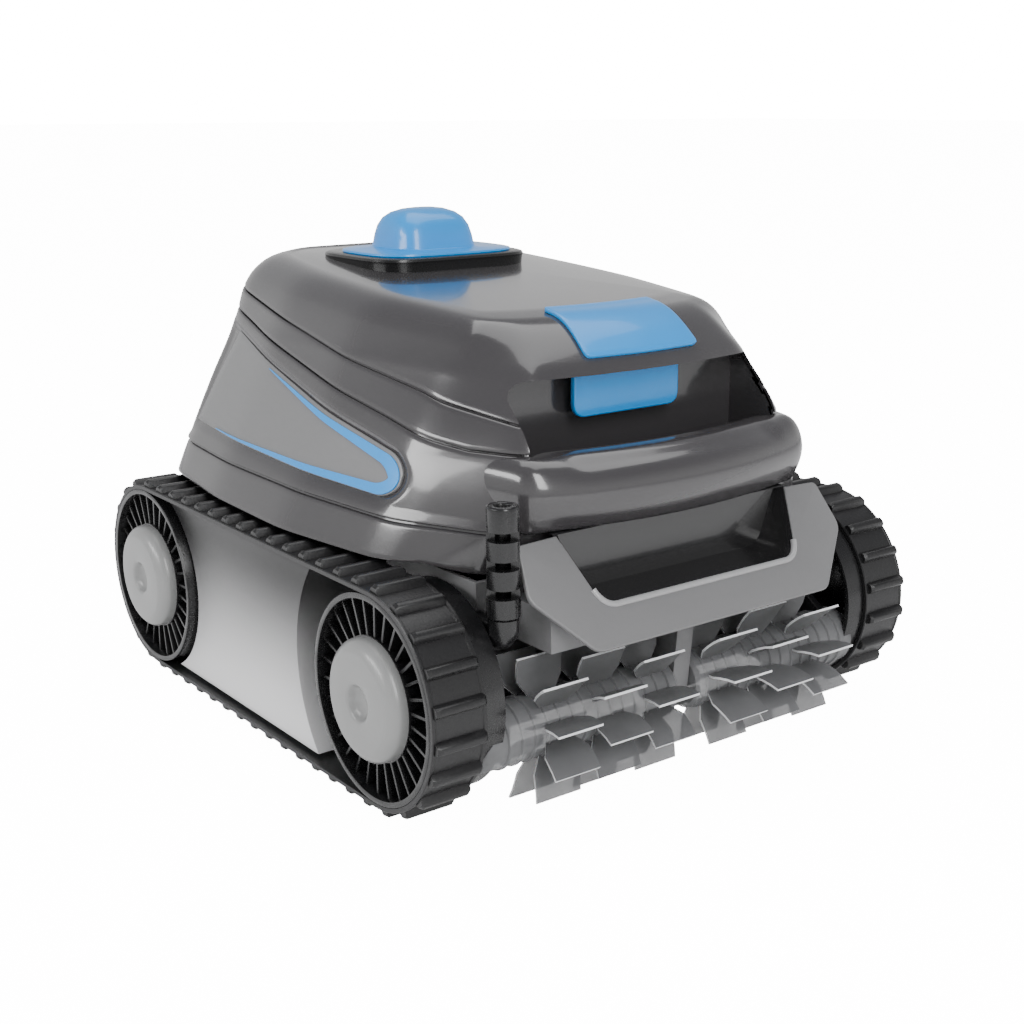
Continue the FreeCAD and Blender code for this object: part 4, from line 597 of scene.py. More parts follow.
# The hand hollow's lining has rounded corners. Its upper part is moulded on the lid and
# its lower part on the hull, parted along the high seam.
LINING = 0.0022
SEAM_PLANE = ((0.0, -0.151, 0.200), (0.0, -0.0134, 0.061))
for part, body, away in (("hollow_lining_lower", "root", "clear_outer"),
                         ("hollow_lining_upper", "lid", "clear_inner")):
    low, high = (Vector(corner) for corner in hand_hollow)
    grow = Vector((LINING, LINING, LINING))
    lining = block(part, low - grow, high + grow, corner=0.012, axis=1)
    cut_away(lining, block("hollow_cutter", low, high, corner=0.012, axis=1))
    form_rows = [body_row([z] * COLUMNS, 0.0, 0.0014) for z in (0.13, 0.15, 0.17, 0.19, 0.21, 0.23, 0.245)]
    form = skin("body_form", form_rows)
    work_on(form)
    bpy.ops.object.mode_set(mode="EDIT")
    bpy.ops.mesh.select_all(action="SELECT")
    bpy.ops.mesh.region_to_loop()
    bpy.ops.mesh.edge_face_add()
    bpy.ops.mesh.select_all(action="SELECT")
    bpy.ops.mesh.fill_holes(sides=0)
    bpy.ops.mesh.normals_make_consistent(inside=False)
    bpy.ops.object.mode_set(mode="OBJECT")
    cut_away(lining, form, operation="INTERSECT")
    work_on(lining)
    bpy.ops.object.mode_set(mode="EDIT")
    bpy.ops.mesh.select_all(action="SELECT")
    bpy.ops.mesh.bisect(plane_co=SEAM_PLANE[0], plane_no=SEAM_PLANE[1], use_fill=True, **{away: True})
    bpy.ops.object.mode_set(mode="OBJECT")
    mount(smooth(lining), body, gloss_body, "body_plastic")


# ------------------------------------------------------------------ carrying bar
# The hull's front rail doubles as the carrying handle: a hollow moulded bar with a
# rounded nose and a shallow thumb groove along its top.
def rounded_path(corners, spacing, passes):
    """Points along a chain of corners, evenly spaced and eased at the corners."""
    points = []
    for a, b in zip(corners, corners[1:]):
        a, b = Vector(a), Vector(b)
        count = max(2, round((b - a).length / spacing))
        points += [a.lerp(b, k / count) for k in range(count)]
    points.append(Vector(corners[-1]))
    for _ in range(passes):
        points = [points[0]] + [(points[k - 1] + points[k] * 2 + points[k + 1]) / 4
                                for k in range(1, len(points) - 1)] + [points[-1]]
    return points


bar_nose = [(-0.1125, -0.132), (-0.1095, -0.150), (-0.103, -0.172)]
bar_nose += [(-0.103 + 0.206 * k / 12, -0.189 + 0.017 * ((k - 6) / 6) ** 2) for k in range(1, 12)]
bar_nose += [(0.103, -0.172), (0.1095, -0.150), (0.1125, -0.132)]
bar_path = rounded_path(bar_nose, 0.004, 8)
BAR_SECTION = [(0.000, 0.166), (0.0006, 0.171), (0.0024, 0.176), (0.0056, 0.1806), (0.010, 0.1838),
               (0.015, 0.1855), (0.020, 0.186), (0.026, 0.186), (0.0290, 0.1852), (0.030, 0.1835),
               (0.030, 0.170), (0.030, 0.155), (0.0288, 0.1475), (0.0265, 0.146), (0.018, 0.146),
               (0.0105, 0.1466), (0.0080, 0.1484), (0.0062, 0.1512), (0.0036, 0.1552), (0.0012, 0.1605)]
bar_rows = []
for i, point in enumerate(bar_path):
    run = (bar_path[min(i + 1, len(bar_path) - 1)] - bar_path[max(i - 1, 0)]).normalized()
    outward = Vector((run.y, -run.x))
    reach = abs(point.x) / 0.103
    depth = 0.62 + 0.38 * max(0.0, min(1.0, (1.02 - reach) * 5))
    groove = max(0.0, min(1.0, (0.80 - reach) * 9))
    row = []
    for d, z in BAR_SECTION:
        hollow = 0.0026 * groove * math.exp(-((d - 0.0085) / 0.0042) ** 2) if z > 0.170 else 0.0
        inner = point - outward * (d * depth + hollow * 0.5)
        row.append(Vector((inner.x, inner.y, z - hollow)))
    bar_rows.append(row)
bar = skin("carrying_bar", bar_rows)
work_on(bar)
bpy.ops.object.mode_set(mode="EDIT")
bpy.ops.mesh.select_all(action="SELECT")
bpy.ops.mesh.fill_holes(sides=0)
bpy.ops.mesh.normals_make_consistent(inside=False)
bpy.ops.object.mode_set(mode="OBJECT")
modify(bar, "SUBSURF", levels=1, render_levels=1)
mount(smooth(bar, 60), "root", gloss_body, "body_plastic")


# ------------------------------------------------------------------ side inlays
# Each flank has a drop-shaped dished panel in satin grey with a blue strip round its
# nose; the strip's two arms run back along the panel's edges and taper away.
def side_point(side, y, z, lift=0.0):
    """The point of the body's flank at a length and a height, lifted off the surface."""
    for k in range(COLUMNS // 8, COLUMNS // 2):
        a, b = column_point(k, z), column_point(k + 1, z)
        if a.y <= y <= b.y:
            return Vector((side * (a.lerp(b, (y - a.y) / (b.y - a.y)).x + lift), y, z))
    return Vector((side * lift, y, z))


def drop_edge(share, high):
    """A point of the drop's outline from its nose, at 0, to its rear, at 1."""
    y = NOSE_Y - NOSE_REACH + (0.134 - NOSE_Y + NOSE_REACH) * share ** 1.6
    rear_lean = (-0.007 if high else 0.007) * max(0.0, share - 0.5) * 2
    low_z, high_z = INLAY_LOW(y), INLAY_HIGH(y)
    middle, half = (low_z + high_z) / 2, (high_z - low_z) / 2
    if y < NOSE_Y:
        half *= math.sqrt(max(0.0, 1 - ((NOSE_Y - y) / NOSE_REACH) ** 2))
    return Vector((y + rear_lean, middle + (half if high else -half)))


def flank_sheet(name, side, edges, across, lift):
    """A sheet on the flank between two edges, each a list of (y, z)."""
    rows = []
    for low, high in edges:
        rows.append([side_point(side, *low.lerp(high, k / across), lift) for k in range(across + 1)])
    if side > 0:
        rows.reverse()
    return skin(name, rows, closed=False)


for side_name, side in (("left", -1), ("right", 1)):
    edges = [(drop_edge(k / 44, False), drop_edge(k / 44, True)) for k in range(1, 45)]
    inlay = flank_sheet("side_inlay_panel_" + side_name, side, edges, 14, -0.0024)
    modify(inlay, "SOLIDIFY", thickness=0.0016, offset=1.0)
    soften(inlay, 0.0006)
    mount(smooth(inlay), "root", satin_grey, "satin_grey", "side_inlay_" + side_name)
    edges = []
    for k in range(-60, 61):
        share = abs(k) / 60
        reach = 0.90 if k < 0 else 0.80
        outer = drop_edge(max(0.0005, share ** 1.4 * reach), k > 0)
        toward = Vector((outer.x + 0.010, (INLAY_LOW(outer.x + 0.01) + INLAY_HIGH(outer.x + 0.01)) / 2))
        inward = (toward - outer).normalized()
        width = 0.0074 * (1 - share ** 1.6) + 0.0004
        edges.append((outer + inward * 0.0014, outer + inward * (0.0014 + width)))
    strip = flank_sheet("accent_strip_" + side_name + "_lens", side, edges, 4, -0.0004)
    modify(strip, "SOLIDIFY", thickness=0.0012, offset=0.0)
    mount(smooth(strip, 50), "root", blue_gloss, "blue_plastic", "accent_strip_" + side_name)


# ------------------------------------------------------------------ fascia and scoop
# The fascia is a leaning satin cover, screwed on under the bar. Its upper middle is cut
# out for the scoop, and the cut-out's edge is rolled over into a rounded lip, painted lighter as a painted
# highlight.
FASCIA_TOP = Vector((-0.172, 0.145))
FASCIA_BOTTOM = Vector((-0.208, 0.0927))


def fascia_point(x, z, lift=0.0):
    """A point of the fascia's face, lifted square to it. The face bows a little."""
    share = (FASCIA_TOP.y - z) / (FASCIA_TOP.y - FASCIA_BOTTOM.y)
    bow = 0.0015 * (1 - (x / 0.115) ** 2)
    y = FASCIA_TOP.x + (FASCIA_BOTTOM.x - FASCIA_TOP.x) * share
    return Vector((x, y - bow * 0.3 - lift * 0.824, z + lift * 0.567))


def filleted(corners, steps=6):
    """A closed outline whose corners are rounded. A corner is (x, z, radius)."""
    outline = []
    for i, (x, z, radius) in enumerate(corners):
        here = Vector((x, z))
        before = (Vector(corners[i - 1][:2]) - here)
        after = (Vector(corners[(i + 1) % len(corners)][:2]) - here)
        if radius == 0:
            outline.append(here)
            continue
        half = before.angle(after) / 2
        reach = radius / math.tan(half)
        start, end = here + before.normalized() * reach, here + after.normalized() * reach
        for k in range(steps + 1):
            t = k / steps
            outline.append(start.lerp(here, t).lerp(here.lerp(end, t), t))
    return outline


def flat_plate(name, outline, thickness, edge, place):
    """A plate cut to an outline with rounded edges, set on a surface by a function."""
    curve = bpy.data.curves.new(name, "CURVE")
    curve.dimensions = "2D"
    curve.fill_mode = "BOTH"
    curve.extrude = thickness / 2 - edge
    curve.bevel_depth = edge
    curve.bevel_resolution = 2
    curve.offset = -edge
    spline = curve.splines.new("POLY")
    spline.points.add(len(outline) - 1)
    for spot, point in zip(spline.points, outline):
        spot.co = (point.x, point.y, 0, 1)
    spline.use_cyclic_u = True
    piece = bpy.data.objects.new(name, curve)
    bpy.context.scene.collection.objects.link(piece)
    work_on(piece)
    bpy.ops.object.convert(target="MESH")
    piece = bpy.context.object
    for vertex in piece.data.vertices:
        vertex.co = place(vertex.co.x, vertex.co.y, vertex.co.z)
    work_on(piece)
    bpy.ops.object.mode_set(mode="EDIT")
    bpy.ops.mesh.select_all(action="SELECT")
    bpy.ops.mesh.remove_doubles(threshold=0.00001)
    bpy.ops.mesh.normals_make_consistent(inside=False)
    bpy.ops.object.mode_set(mode="OBJECT")
    return piece


scoop_edge = [(0.0845, 0.146, 0.0), (0.0715, 0.111, 0.013)]
scoop_corners = scoop_edge + [(-x, z, r) for x, z, r in reversed(scoop_edge)]
fascia_corners = [(-0.110, 0.1452, 0.004), (-0.115, 0.121, 0.008), (-0.0854, 0.0927, 0.010),
                  (0.0854, 0.0927, 0.010), (0.115, 0.121, 0.008), (0.110, 0.1452, 0.004)] + scoop_corners
fascia = flat_plate("fascia_cover", filleted(fascia_corners), 0.003, 0.0008,
                    lambda x, z, depth: fascia_point(x, z, depth - 0.0015))


def bead(name, points, radius, rings=8, closed=False):
    """A round bead along a line of points."""
    curve = bpy.data.curves.new(name, "CURVE")
    curve.dimensions = "3D"
    curve.bevel_depth = radius
    curve.bevel_resolution = rings // 2 - 1
    curve.use_fill_caps = True
    spline = curve.splines.new("POLY")
    spline.points.add(len(points) - 1)
    for spot, point in zip(spline.points, points):
        spot.co = (*point, 1)
    spline.use_cyclic_u = closed
    piece = bpy.data.objects.new(name, curve)
    bpy.context.scene.collection.objects.link(piece)
    work_on(piece)
    bpy.ops.object.convert(target="MESH")
    return bpy.context.object


# A fine seam runs under the scoop and turns up at its right-hand end.
seam_line = rounded_path([(-0.034, 0.1025), (0.061, 0.1025), (0.067, 0.122)], 0.002, 12)
cut_away(fascia, bead("fascia_seam", [fascia_point(p.x, p.y, 0.0001) for p in seam_line], 0.00045, 6))
mount(smooth(fascia), "root", satin_grey, "satin_grey", "fascia")
scoop_line = filleted(scoop_corners, 8)
lip_line = [p for p in scoop_line if p.y < 0.1445]
lip_bead = bead("scoop_lip", [fascia_point(p.x, p.y, -0.0006) for p in lip_line], 0.0019)
# The lip is the fascia's satin plastic, painted lighter as a painted highlight.
mount(smooth(lip_bead, 60), "root", lip_grey_painted_highlight, "satin_grey")

scoop_rows = []
for depth, shrink in ((0.0, 1.0), (0.006, 0.985), (0.016, 0.97), (0.030, 0.955), (0.036, 0.93),
                      (0.038, 0.88)):
    row = []
    for p in scoop_line:
        front = fascia_point(p.x, p.y, -0.0012)
        back_y = min(-0.1665, front.y + depth)
        row.append(Vector((p.x * shrink, back_y, 0.146 - (0.146 - p.y) * shrink)))
    scoop_rows.append(row)
scoop = skin("scoop_tub", scoop_rows)
work_on(scoop)
bpy.ops.object.mode_set(mode="EDIT")
bpy.ops.mesh.select_all(action="DESELECT")
bpy.ops.object.mode_set(mode="OBJECT")
first_back = len(scoop_line) * (len(scoop_rows) - 1)
for vertex in scoop.data.vertices:
    vertex.select = vertex.index >= first_back
bpy.ops.object.mode_set(mode="EDIT")
bpy.ops.mesh.select_mode(type="VERT")
bpy.ops.mesh.edge_face_add()
bpy.ops.object.mode_set(mode="OBJECT")
modify(scoop, "SOLIDIFY", thickness=0.0018, offset=1.0)
mount(smooth(scoop), "root", dark_inside, "black_plastic", "scoop_liner")


# ------------------------------------------------------------------ latch
# A blue cover plate wraps the lid's front edge, and a sprung tab hangs from a pin under
# it. Pulling the tab frees the lid.
def point_at_x(row, x):
    """Where a ring of the lid passes a given X on its front half."""
    for k in range(-COLUMNS // 4, COLUMNS // 4):
        a, b = row[k], row[k + 1]
        if a.x <= x <= b.x and a.y < 0.03:
            return a.lerp(b, (x - a.x) / (b.x - a.x))
    return row[0].copy()


latch_rows = []
for row in lid_rows:
    front = point_at_x(row, 0.0)
    if front.z > 0.2262 and front.y < -0.100:
        half = 0.0385 + 0.0025 * max(0.0, (0.250 - front.z) / 0.024)
        latch_rows.append([point_at_x(row, half * (k / 8 - 1)) for k in range(17)])
latch = skin("latch_cover", latch_rows, closed=False)
modify(latch, "SUBSURF", levels=1, render_levels=1)
modify(latch, "SOLIDIFY", thickness=0.0026, offset=1.0)
soften(latch, 0.0007)
mount(smooth(latch), "lid", blue_gloss, "blue_plastic", "latch_plate")

TAB_HALF = 0.0385
tab_corners = [(-TAB_HALF, 0.195, 0.008), (TAB_HALF, 0.195, 0.008), (TAB_HALF, 0.221, 0.001),
               (-TAB_HALF, 0.221, 0.001)]
tab = flat_plate("latch_tab_grip", filleted(tab_corners), 0.004, 0.0011,
                 lambda x, z, depth: Vector((x, -0.1267 - depth - 0.0009 * (1 - (x / TAB_HALF) ** 2), z)))
mount(smooth(tab), "latch_tab", blue_gloss, "blue_plastic", "latch_tab")


# ------------------------------------------------------------------ pump outlet
# A dark collar stands on the lid over the pump; the blue cowl on it is a rounded dome on
# a thin flange, open towards the tail, where the jet leaves.
def oval(half, front, rear, z, power, count=64):
    """A rounded-rectangle ring; a higher power gives squarer corners."""
    middle, reach = (front + rear) / 2, (rear - front) / 2
    ring = []
    for k in range(count):
        c, s = math.cos(2 * math.pi * k / count), math.sin(2 * math.pi * k / count)
        ring.append(Vector((half * math.copysign(abs(c) ** (2 / power), c),
                            middle + reach * math.copysign(abs(s) ** (2 / power), s), z)))
    return ring


def closed_stack(name, rings):
    """A closed form through rings, its two ends filled."""
    piece = skin(name, rings)
    work_on(piece)
    bpy.ops.object.mode_set(mode="EDIT")
    bpy.ops.mesh.select_all(action="SELECT")
    bpy.ops.mesh.fill_holes(sides=0)
    bpy.ops.mesh.normals_make_consistent(inside=False)
    bpy.ops.object.mode_set(mode="OBJECT")
    return piece


collar = closed_stack("outlet_collar_ring", [
    oval(0.0565, 0.0315, 0.1235, 0.2555, 4.5), oval(0.0575, 0.0305, 0.1245, 0.2665, 4.5),
    oval(0.0580, 0.0300, 0.1250, 0.2680, 4.5), oval(0.0574, 0.0306, 0.1244, 0.2694, 4.5),
    oval(0.0560, 0.0320, 0.1230, 0.2700, 4.5)])
bpy.ops.mesh.primitive_cylinder_add(vertices=64, radius=0.040, depth=0.06, location=(0, 0.077, 0.262))
cut_away(collar, bpy.context.object)
mount(smooth(collar, 40), "lid", black_plastic, "black_plastic", "outlet_collar")

cowl = closed_stack("outlet_cowl_dome", [
    oval(0.0515, 0.0345, 0.1145, 0.2700, 3.4), oval(0.0520, 0.0340, 0.1150, 0.2708, 3.4),
    oval(0.0516, 0.0344, 0.1146, 0.2718, 3.4), oval(0.0500, 0.0360, 0.1130, 0.2722, 3.4),
    oval(0.0320, 0.0490, 0.1080, 0.2724, 3.6), oval(0.0298, 0.0512, 0.1058, 0.2732, 3.8),
    oval(0.0290, 0.0520, 0.1050, 0.2750, 4.0), oval(0.0280, 0.0534, 0.1036, 0.2810, 4.0),
    oval(0.0268, 0.0552, 0.1018, 0.2865, 3.8), oval(0.0244, 0.0584, 0.0986, 0.2915, 3.4),
    oval(0.0205, 0.0630, 0.0940, 0.2948, 3.0), oval(0.0140, 0.0695, 0.0875, 0.2970, 2.6),
    oval(0.0070, 0.0750, 0.0820, 0.2978, 2.2)])
cowl_hollow = closed_stack("cowl_hollow", [
    oval(0.0262, 0.0548, 0.1022, 0.2600, 4.0), oval(0.0262, 0.0548, 0.1022, 0.2750, 4.0),
    oval(0.0244, 0.0576, 0.0994, 0.2860, 3.8), oval(0.0200, 0.0640, 0.0930, 0.2920, 3.2)])
cut_away(cowl, cowl_hollow, block("cowl_mouth", (-0.022, 0.088, 0.2738), (0.022, 0.140, 0.2880), 0.006, 1))
mount(smooth(cowl, 40), "lid", blue_gloss, "blue_plastic", "outlet_cowl")


# ------------------------------------------------------------------ cable gland
# The cable comes down into a rubber-like sleeve with three bending slots; below it an
# elbow leads the cable back into the chassis.
def merged(piece):
    """Joins the points that lie on each other and turns the faces outwards."""
    work_on(piece)
    bpy.ops.object.mode_set(mode="EDIT")
    bpy.ops.mesh.select_all(action="SELECT")
    bpy.ops.mesh.remove_doubles(threshold=0.00001)
    bpy.ops.mesh.normals_make_consistent(inside=False)
    bpy.ops.object.mode_set(mode="OBJECT")
    return piece


def turned(name, profile, place, steps=48):
    """A piece turned about an upright axis from its profile of (radius, height)."""
    rings = []
    turns = [2 * math.pi * k / steps for k in range(steps)]
    for radius, z in profile:
        rings.append([Vector((place[0] + radius * math.cos(turn), place[1] + radius * math.sin(turn), z))
                      for turn in turns])
    return merged(skin(name, rings))


GLAND = (-0.1205, -0.174)
gland = turned("cable_gland_sleeve", [
    (0.0042, 0.1300), (0.0042, 0.1682), (0.0050, 0.1690), (0.0074, 0.1690), (0.0082, 0.1684),
    (0.0084, 0.1672), (0.0084, 0.1540), (0.0086, 0.1530), (0.0086, 0.1250), (0.0088, 0.1240),
    (0.0088, 0.1110), (0.0080, 0.1100), (0.0042, 0.1100), (0.0042, 0.1300)], GLAND)
slots = []
for z in (0.1235, 0.1385, 0.1535):
    bpy.ops.object.select_all(action="DESELECT")
    slot_block = block("slot_cutter", (-0.012, -0.020, z - 0.0024), (0.012, -0.0015, z + 0.0024), 0.002, 1)
    slot_block.rotation_euler.z = math.radians(-38)
    slot_block.location = (*GLAND, 0)
    slots.append(slot_block)
bpy.context.view_layer.update()
cut_away(gland, *slots)
mount(smooth(soften(gland, 0.0003, 1)), "root", black_plastic, "black_plastic", "cable_gland")
elbow_line = rounded_path([(*GLAND, 0.1098), (*GLAND, 0.099), (GLAND[0], -0.150, 0.099)], 0.002, 10)
elbow = bead("cable_elbow_bend", elbow_line, 0.0082, 12)
mount(smooth(elbow, 60), "root", black_plastic, "black_plastic", "cable_elbow")


# ------------------------------------------------------------------ lid hinge
# Two knuckles moulded on the lid and three on the band turn on one steel pin at the tail.
def lying(piece, axle, side):
    """Lays an upright turned piece along an axle, its top outwards."""
    for vertex in piece.data.vertices:
        x, y, z = vertex.co
        vertex.co = (side * z, axle[0] + x, axle[1] + y)
    return merged(piece)


pin_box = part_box("lid_hinge_pin")
pin_axis = ((pin_box[0].y + pin_box[1].y) / 2, (pin_box[0].z + pin_box[1].z) / 2)
pin_radius = (pin_box[1].z - pin_box[0].z) / 2
KNUCKLE = 0.0050
knuckle_length = (pin_box[1].x - pin_box[0].x) / 5
for i in range(5):
    body = "lid" if i % 2 else "root"
    start = pin_box[0].x + knuckle_length * i + 0.0003
    end = start + knuckle_length - 0.0006
    knuckle = lying(turned("hinge_knuckle_%d" % i, [
        (0.0, start), (KNUCKLE - 0.0006, start), (KNUCKLE, start + 0.0006), (KNUCKLE, end - 0.0006),
        (KNUCKLE - 0.0006, end), (0.0, end)], (0, 0), 40), pin_axis, 1)
    low, high = (-0.0010, KNUCKLE) if body == "lid" else (-0.0130, -0.0038)
    arm = block("hinge_arm", (start + 0.0004, pin_axis[0] - 0.0125, pin_axis[1] + low),
                (end - 0.0004, pin_axis[0], pin_axis[1] + high))
    cut_away(knuckle, arm, operation="UNION")
    bore = turned("pin_bore", [(0.0, start - 0.001), (pin_radius, start - 0.001), (pin_radius, end + 0.001),
                               (0.0, end + 0.001)], (0, 0), 40)
    cut_away(knuckle, lying(bore, pin_axis, 1))
    mount(smooth(knuckle), body, gloss_body, "body_plastic")


# ------------------------------------------------------------------ softened copies
# The plain moulded pieces keep their shape; a copy gets the small edge radii of a mould.
def softened(node, body, surface, slot, width=0.0006):
    piece = bpy.data.objects.new(node + "_moulded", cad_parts[node].data.copy())
    bpy.context.scene.collection.objects.link(piece)
    work_on(piece)
    bpy.ops.object.mode_set(mode="EDIT")
    bpy.ops.mesh.select_all(action="SELECT")
    bpy.ops.mesh.remove_doubles(threshold=0.00002)
    bpy.ops.mesh.dissolve_limited(angle_limit=math.radians(1.0))
    bpy.ops.object.mode_set(mode="OBJECT")
    soften(piece, width)
    return mount(smooth(piece), body, surface, slot, node)


for side in ("left", "right"):
    # The side panels take the painted-light fade: painted shade at the top, painted floor reflection at the
    # bottom.
    softened("side_panel_" + side, "root", side_grey_painted_light, "satin_grey")
    softened("track_frame_" + side, "root", black_plastic, "black_plastic")
softened("chassis", "root", chassis_grey, "chassis_grey")


# ------------------------------------------------------------------ hub caps
# A shallow turned cap with a rolled rim and a round dimple in the middle.
for end in ("front", "rear"):
    for side_name, side in (("left", -1), ("right", 1)):
        wheel = end + "_wheel_" + side_name
        cap_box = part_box(end + "_hub_cap_" + side_name)
        axle = ((cap_box[0].y + cap_box[1].y) / 2, (cap_box[0].z + cap_box[1].z) / 2)
        face = max(abs(cap_box[0].x), abs(cap_box[1].x))
        base = min(abs(cap_box[0].x), abs(cap_box[1].x))
        cap = turned(end + "_cap_" + side_name, [
            (0.0, base), (0.0325, base), (0.0335, base + 0.0006), (0.0335, face - 0.0070),
            (0.0331, face - 0.0052), (0.0320, face - 0.0034), (0.0303, face - 0.0018),
            (0.0284, face - 0.0006), (0.0272, face - 0.0002),
            (0.0262, face), (0.0120, face - 0.0002), (0.0104, face - 0.0004), (0.0096, face - 0.0012),
            (0.0086, face - 0.0030), (0.0060, face - 0.0044), (0.0, face - 0.0050)], (0, 0), 72)
        cap = smooth(lying(cap, axle, side), 50)
        mount(cap, wheel, cap_grey, "cap_grey", end + "_hub_cap_" + side_name)
        softened(wheel, wheel, black_plastic, "black_plastic", 0.0004)


# ------------------------------------------------------------------ track belts
# Each belt is a moulded loop with a thin edge flange and 49 tapered lugs.
LUGS = 49
front_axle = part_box("front_wheel_left")
rear_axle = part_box("rear_wheel_left")
FRONT_Y = (front_axle[0].y + front_axle[1].y) / 2
REAR_Y = (rear_axle[0].y + rear_axle[1].y) / 2
AXLE_Z = (front_axle[0].z + front_axle[1].z) / 2
BELT_IN = 0.0573
BELT_OUT = 0.0595
LUG_TIP = 0.0640


def loop_point(distance, radius):
    """A point at a distance along the belt and a height over its axles, and the way out."""
    straight = REAR_Y - FRONT_Y
    arc = math.pi * (BELT_IN + BELT_OUT) / 2
    distance %= 2 * (straight + arc)
    if distance < straight:
        return Vector((FRONT_Y + distance, AXLE_Z - radius)), Vector((0, -1))
    if distance < straight + arc:
        turn = (distance - straight) / arc * math.pi
        out = Vector((math.sin(turn), -math.cos(turn)))
        return Vector((REAR_Y, AXLE_Z)) + out * radius, out
    if distance < 2 * straight + arc:
        return Vector((REAR_Y - (distance - straight - arc), AXLE_Z + radius)), Vector((0, 1))
    turn = (distance - 2 * straight - arc) / arc * math.pi
    out = Vector((-math.sin(turn), math.cos(turn)))
    return Vector((FRONT_Y, AXLE_Z)) + out * radius, out


loop_length = 2 * (REAR_Y - FRONT_Y + math.pi * (BELT_IN + BELT_OUT) / 2)
for side_name, side in (("left", -1), ("right", 1)):
    belt_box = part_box("track_belt_" + side_name)
    near, far = sorted((abs(belt_box[0].x), abs(belt_box[1].x)))
    section = [(near, BELT_IN), (near, BELT_OUT), (near + 0.0004, BELT_OUT + 0.0006),
               (near + 0.0022, BELT_OUT + 0.0006),
               (near + 0.0028, BELT_OUT), (far - 0.0022, BELT_OUT), (far - 0.0016, BELT_OUT + 0.0005),
               (far - 0.0004, BELT_OUT + 0.0005), (far, BELT_OUT), (far, BELT_IN)]
    rows = []
    for k in range(196):
        row = []
        for x, radius in section:
            spot, out = loop_point(loop_length * k / 196, radius)
            row.append(Vector((side * x, spot.x, spot.y)))
        rows.append(row)
    rows.append([p.copy() for p in rows[0]])
    belt = skin("belt_" + side_name, rows)
    lug_points, lug_faces = [], []
    for lug in range(LUGS):
        centre = loop_length * (lug + 0.5) / LUGS
        shape = []
        for x in (near + 0.0018, near + 0.0034, far - 0.0030, far - 0.0012):
            end = x in (near + 0.0018, far - 0.0012)
            for along, radius in ((-0.0036, BELT_OUT - 0.0003), (-0.0026, BELT_OUT + 0.0030),
                                  (-0.0019, LUG_TIP - 0.0004), (-0.0012, LUG_TIP), (0.0012, LUG_TIP),
                                  (0.0019, LUG_TIP - 0.0004), (0.0026, BELT_OUT + 0.0030),
                                  (0.0036, BELT_OUT - 0.0003)):
                low = (radius - BELT_OUT) * (0.72 if end else 1.0) + BELT_OUT
                spot, out = loop_point(centre, low)
                way = Vector((-out.y, out.x)) * along
                shape.append(Vector((side * x, spot.x + way.x, spot.y + way.y)))
        first = len(lug_points)
        lug_points += shape
        for i in range(3):
            for j in range(7):
                a = first + i * 8 + j
                lug_faces.append((a, a + 1, a + 9, a + 8))
        lug_faces.append(tuple(first + j for j in reversed(range(8))))
        lug_faces.append(tuple(first + 24 + j for j in range(8)))
    lugs = new_mesh("lugs_" + side_name, lug_points, lug_faces)
    work_on(lugs)
    belt.select_set(True)
    bpy.context.view_layer.objects.active = belt
    bpy.ops.object.join()
    bpy.ops.object.mode_set(mode="EDIT")
    bpy.ops.mesh.select_all(action="SELECT")
    bpy.ops.mesh.remove_doubles(threshold=0.00001)
    bpy.ops.mesh.normals_make_consistent(inside=False)
    bpy.ops.object.mode_set(mode="OBJECT")
    mount(smooth(belt, 30), "root", belt_rubber, "belt_rubber", "track_belt_" + side_name)


# ------------------------------------------------------------------ roller brush
# Two halves turn on one centre bearing. Each half is a ribbed core with rows of thin
# soft paddles, wider at the tip and swept back a little, staggered from row to row.
brush_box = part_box("roller_brush_left")
BRUSH_Y = (brush_box[0].y + brush_box[1].y) / 2
BRUSH_Z = (brush_box[0].z + brush_box[1].z) / 2
CORE = 0.017
TIP = (brush_box[1].z - brush_box[0].z) / 2
ROWS = 10
PADDLE_PITCH = 0.034
FIRST_PADDLE = 0.024


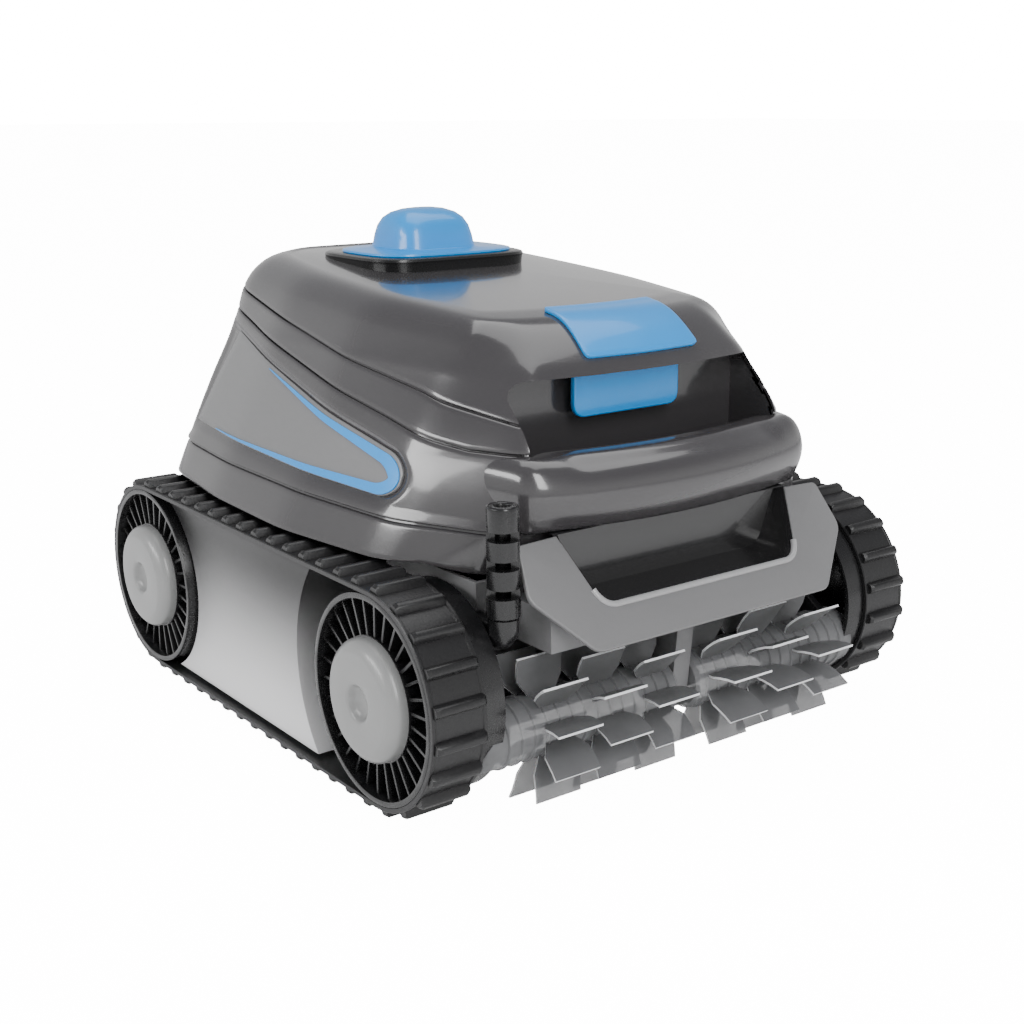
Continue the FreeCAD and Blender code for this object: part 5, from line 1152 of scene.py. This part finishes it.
def paddle(x, turn, side):
    """The points of one paddle: six stations from root to tip, each seven wide."""
    grid = []
    for i in range(6):
        t = i / 5
        radius = CORE - 0.001 + (TIP - 0.0008 - CORE) * t
        sweep = turn + 0.10 * t ** 2
        reach = 0.0085 + 0.0062 * min(1.0, t * 2.4)
        skew = 0.004 * t * side
        for k in range(7):
            w = k / 3 - 1
            grid.append(Vector((x + w * reach + skew, BRUSH_Y + radius * math.sin(sweep),
                                BRUSH_Z - radius * math.cos(sweep))))
    return grid


for side_name, side in (("left", -1), ("right", 1)):
    points, faces = [], []
    for row in range(ROWS):
        for column in range(3):
            x = side * (FIRST_PADDLE + PADDLE_PITCH * column)
            turn = 2 * math.pi * (row + 0.5 * (column % 2)) / ROWS
            first = len(points)
            points += paddle(x, turn, side)
            for i in range(5):
                for k in range(6):
                    a = first + i * 7 + k
                    faces.append((a, a + 1, a + 8, a + 7))
    blades = new_mesh("brush_paddles_" + side_name, points, faces)
    modify(blades, "SOLIDIFY", thickness=0.0013, offset=0.0)
    # Marks the paddles' edge faces for the brush material's painted highlight.
    painted_edge_highlight = blades.data.attributes.new("painted_edge_highlight", "FLOAT", "FACE")
    for face in range(2 * len(faces), len(blades.data.polygons)):
        painted_edge_highlight.data[face].value = 1.0
    near, far = sorted(abs(corner.x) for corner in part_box("roller_brush_" + side_name))
    profile = [(0.0, near), (CORE - 0.002, near), (CORE, near + 0.002)]
    x = near + 0.006
    while x < far - 0.008:
        profile += [(CORE, x), (CORE + 0.0010, x + 0.0006), (CORE + 0.0010, x + 0.0020), (CORE, x + 0.0026)]
        x += 0.0085
    profile += [(CORE, far - 0.004), (CORE - 0.003, far), (0.0, far)]
    core = lying(turned("brush_core_" + side_name, profile, (0, 0), 48), (BRUSH_Y, BRUSH_Z), side)
    work_on(core)
    blades.select_set(True)
    bpy.ops.object.join()
    core.name = "brush_half_" + side_name
    mount(smooth(core, 40), "brush_" + side_name, brush_film, "soft_lamella", "roller_brush_" + side_name)
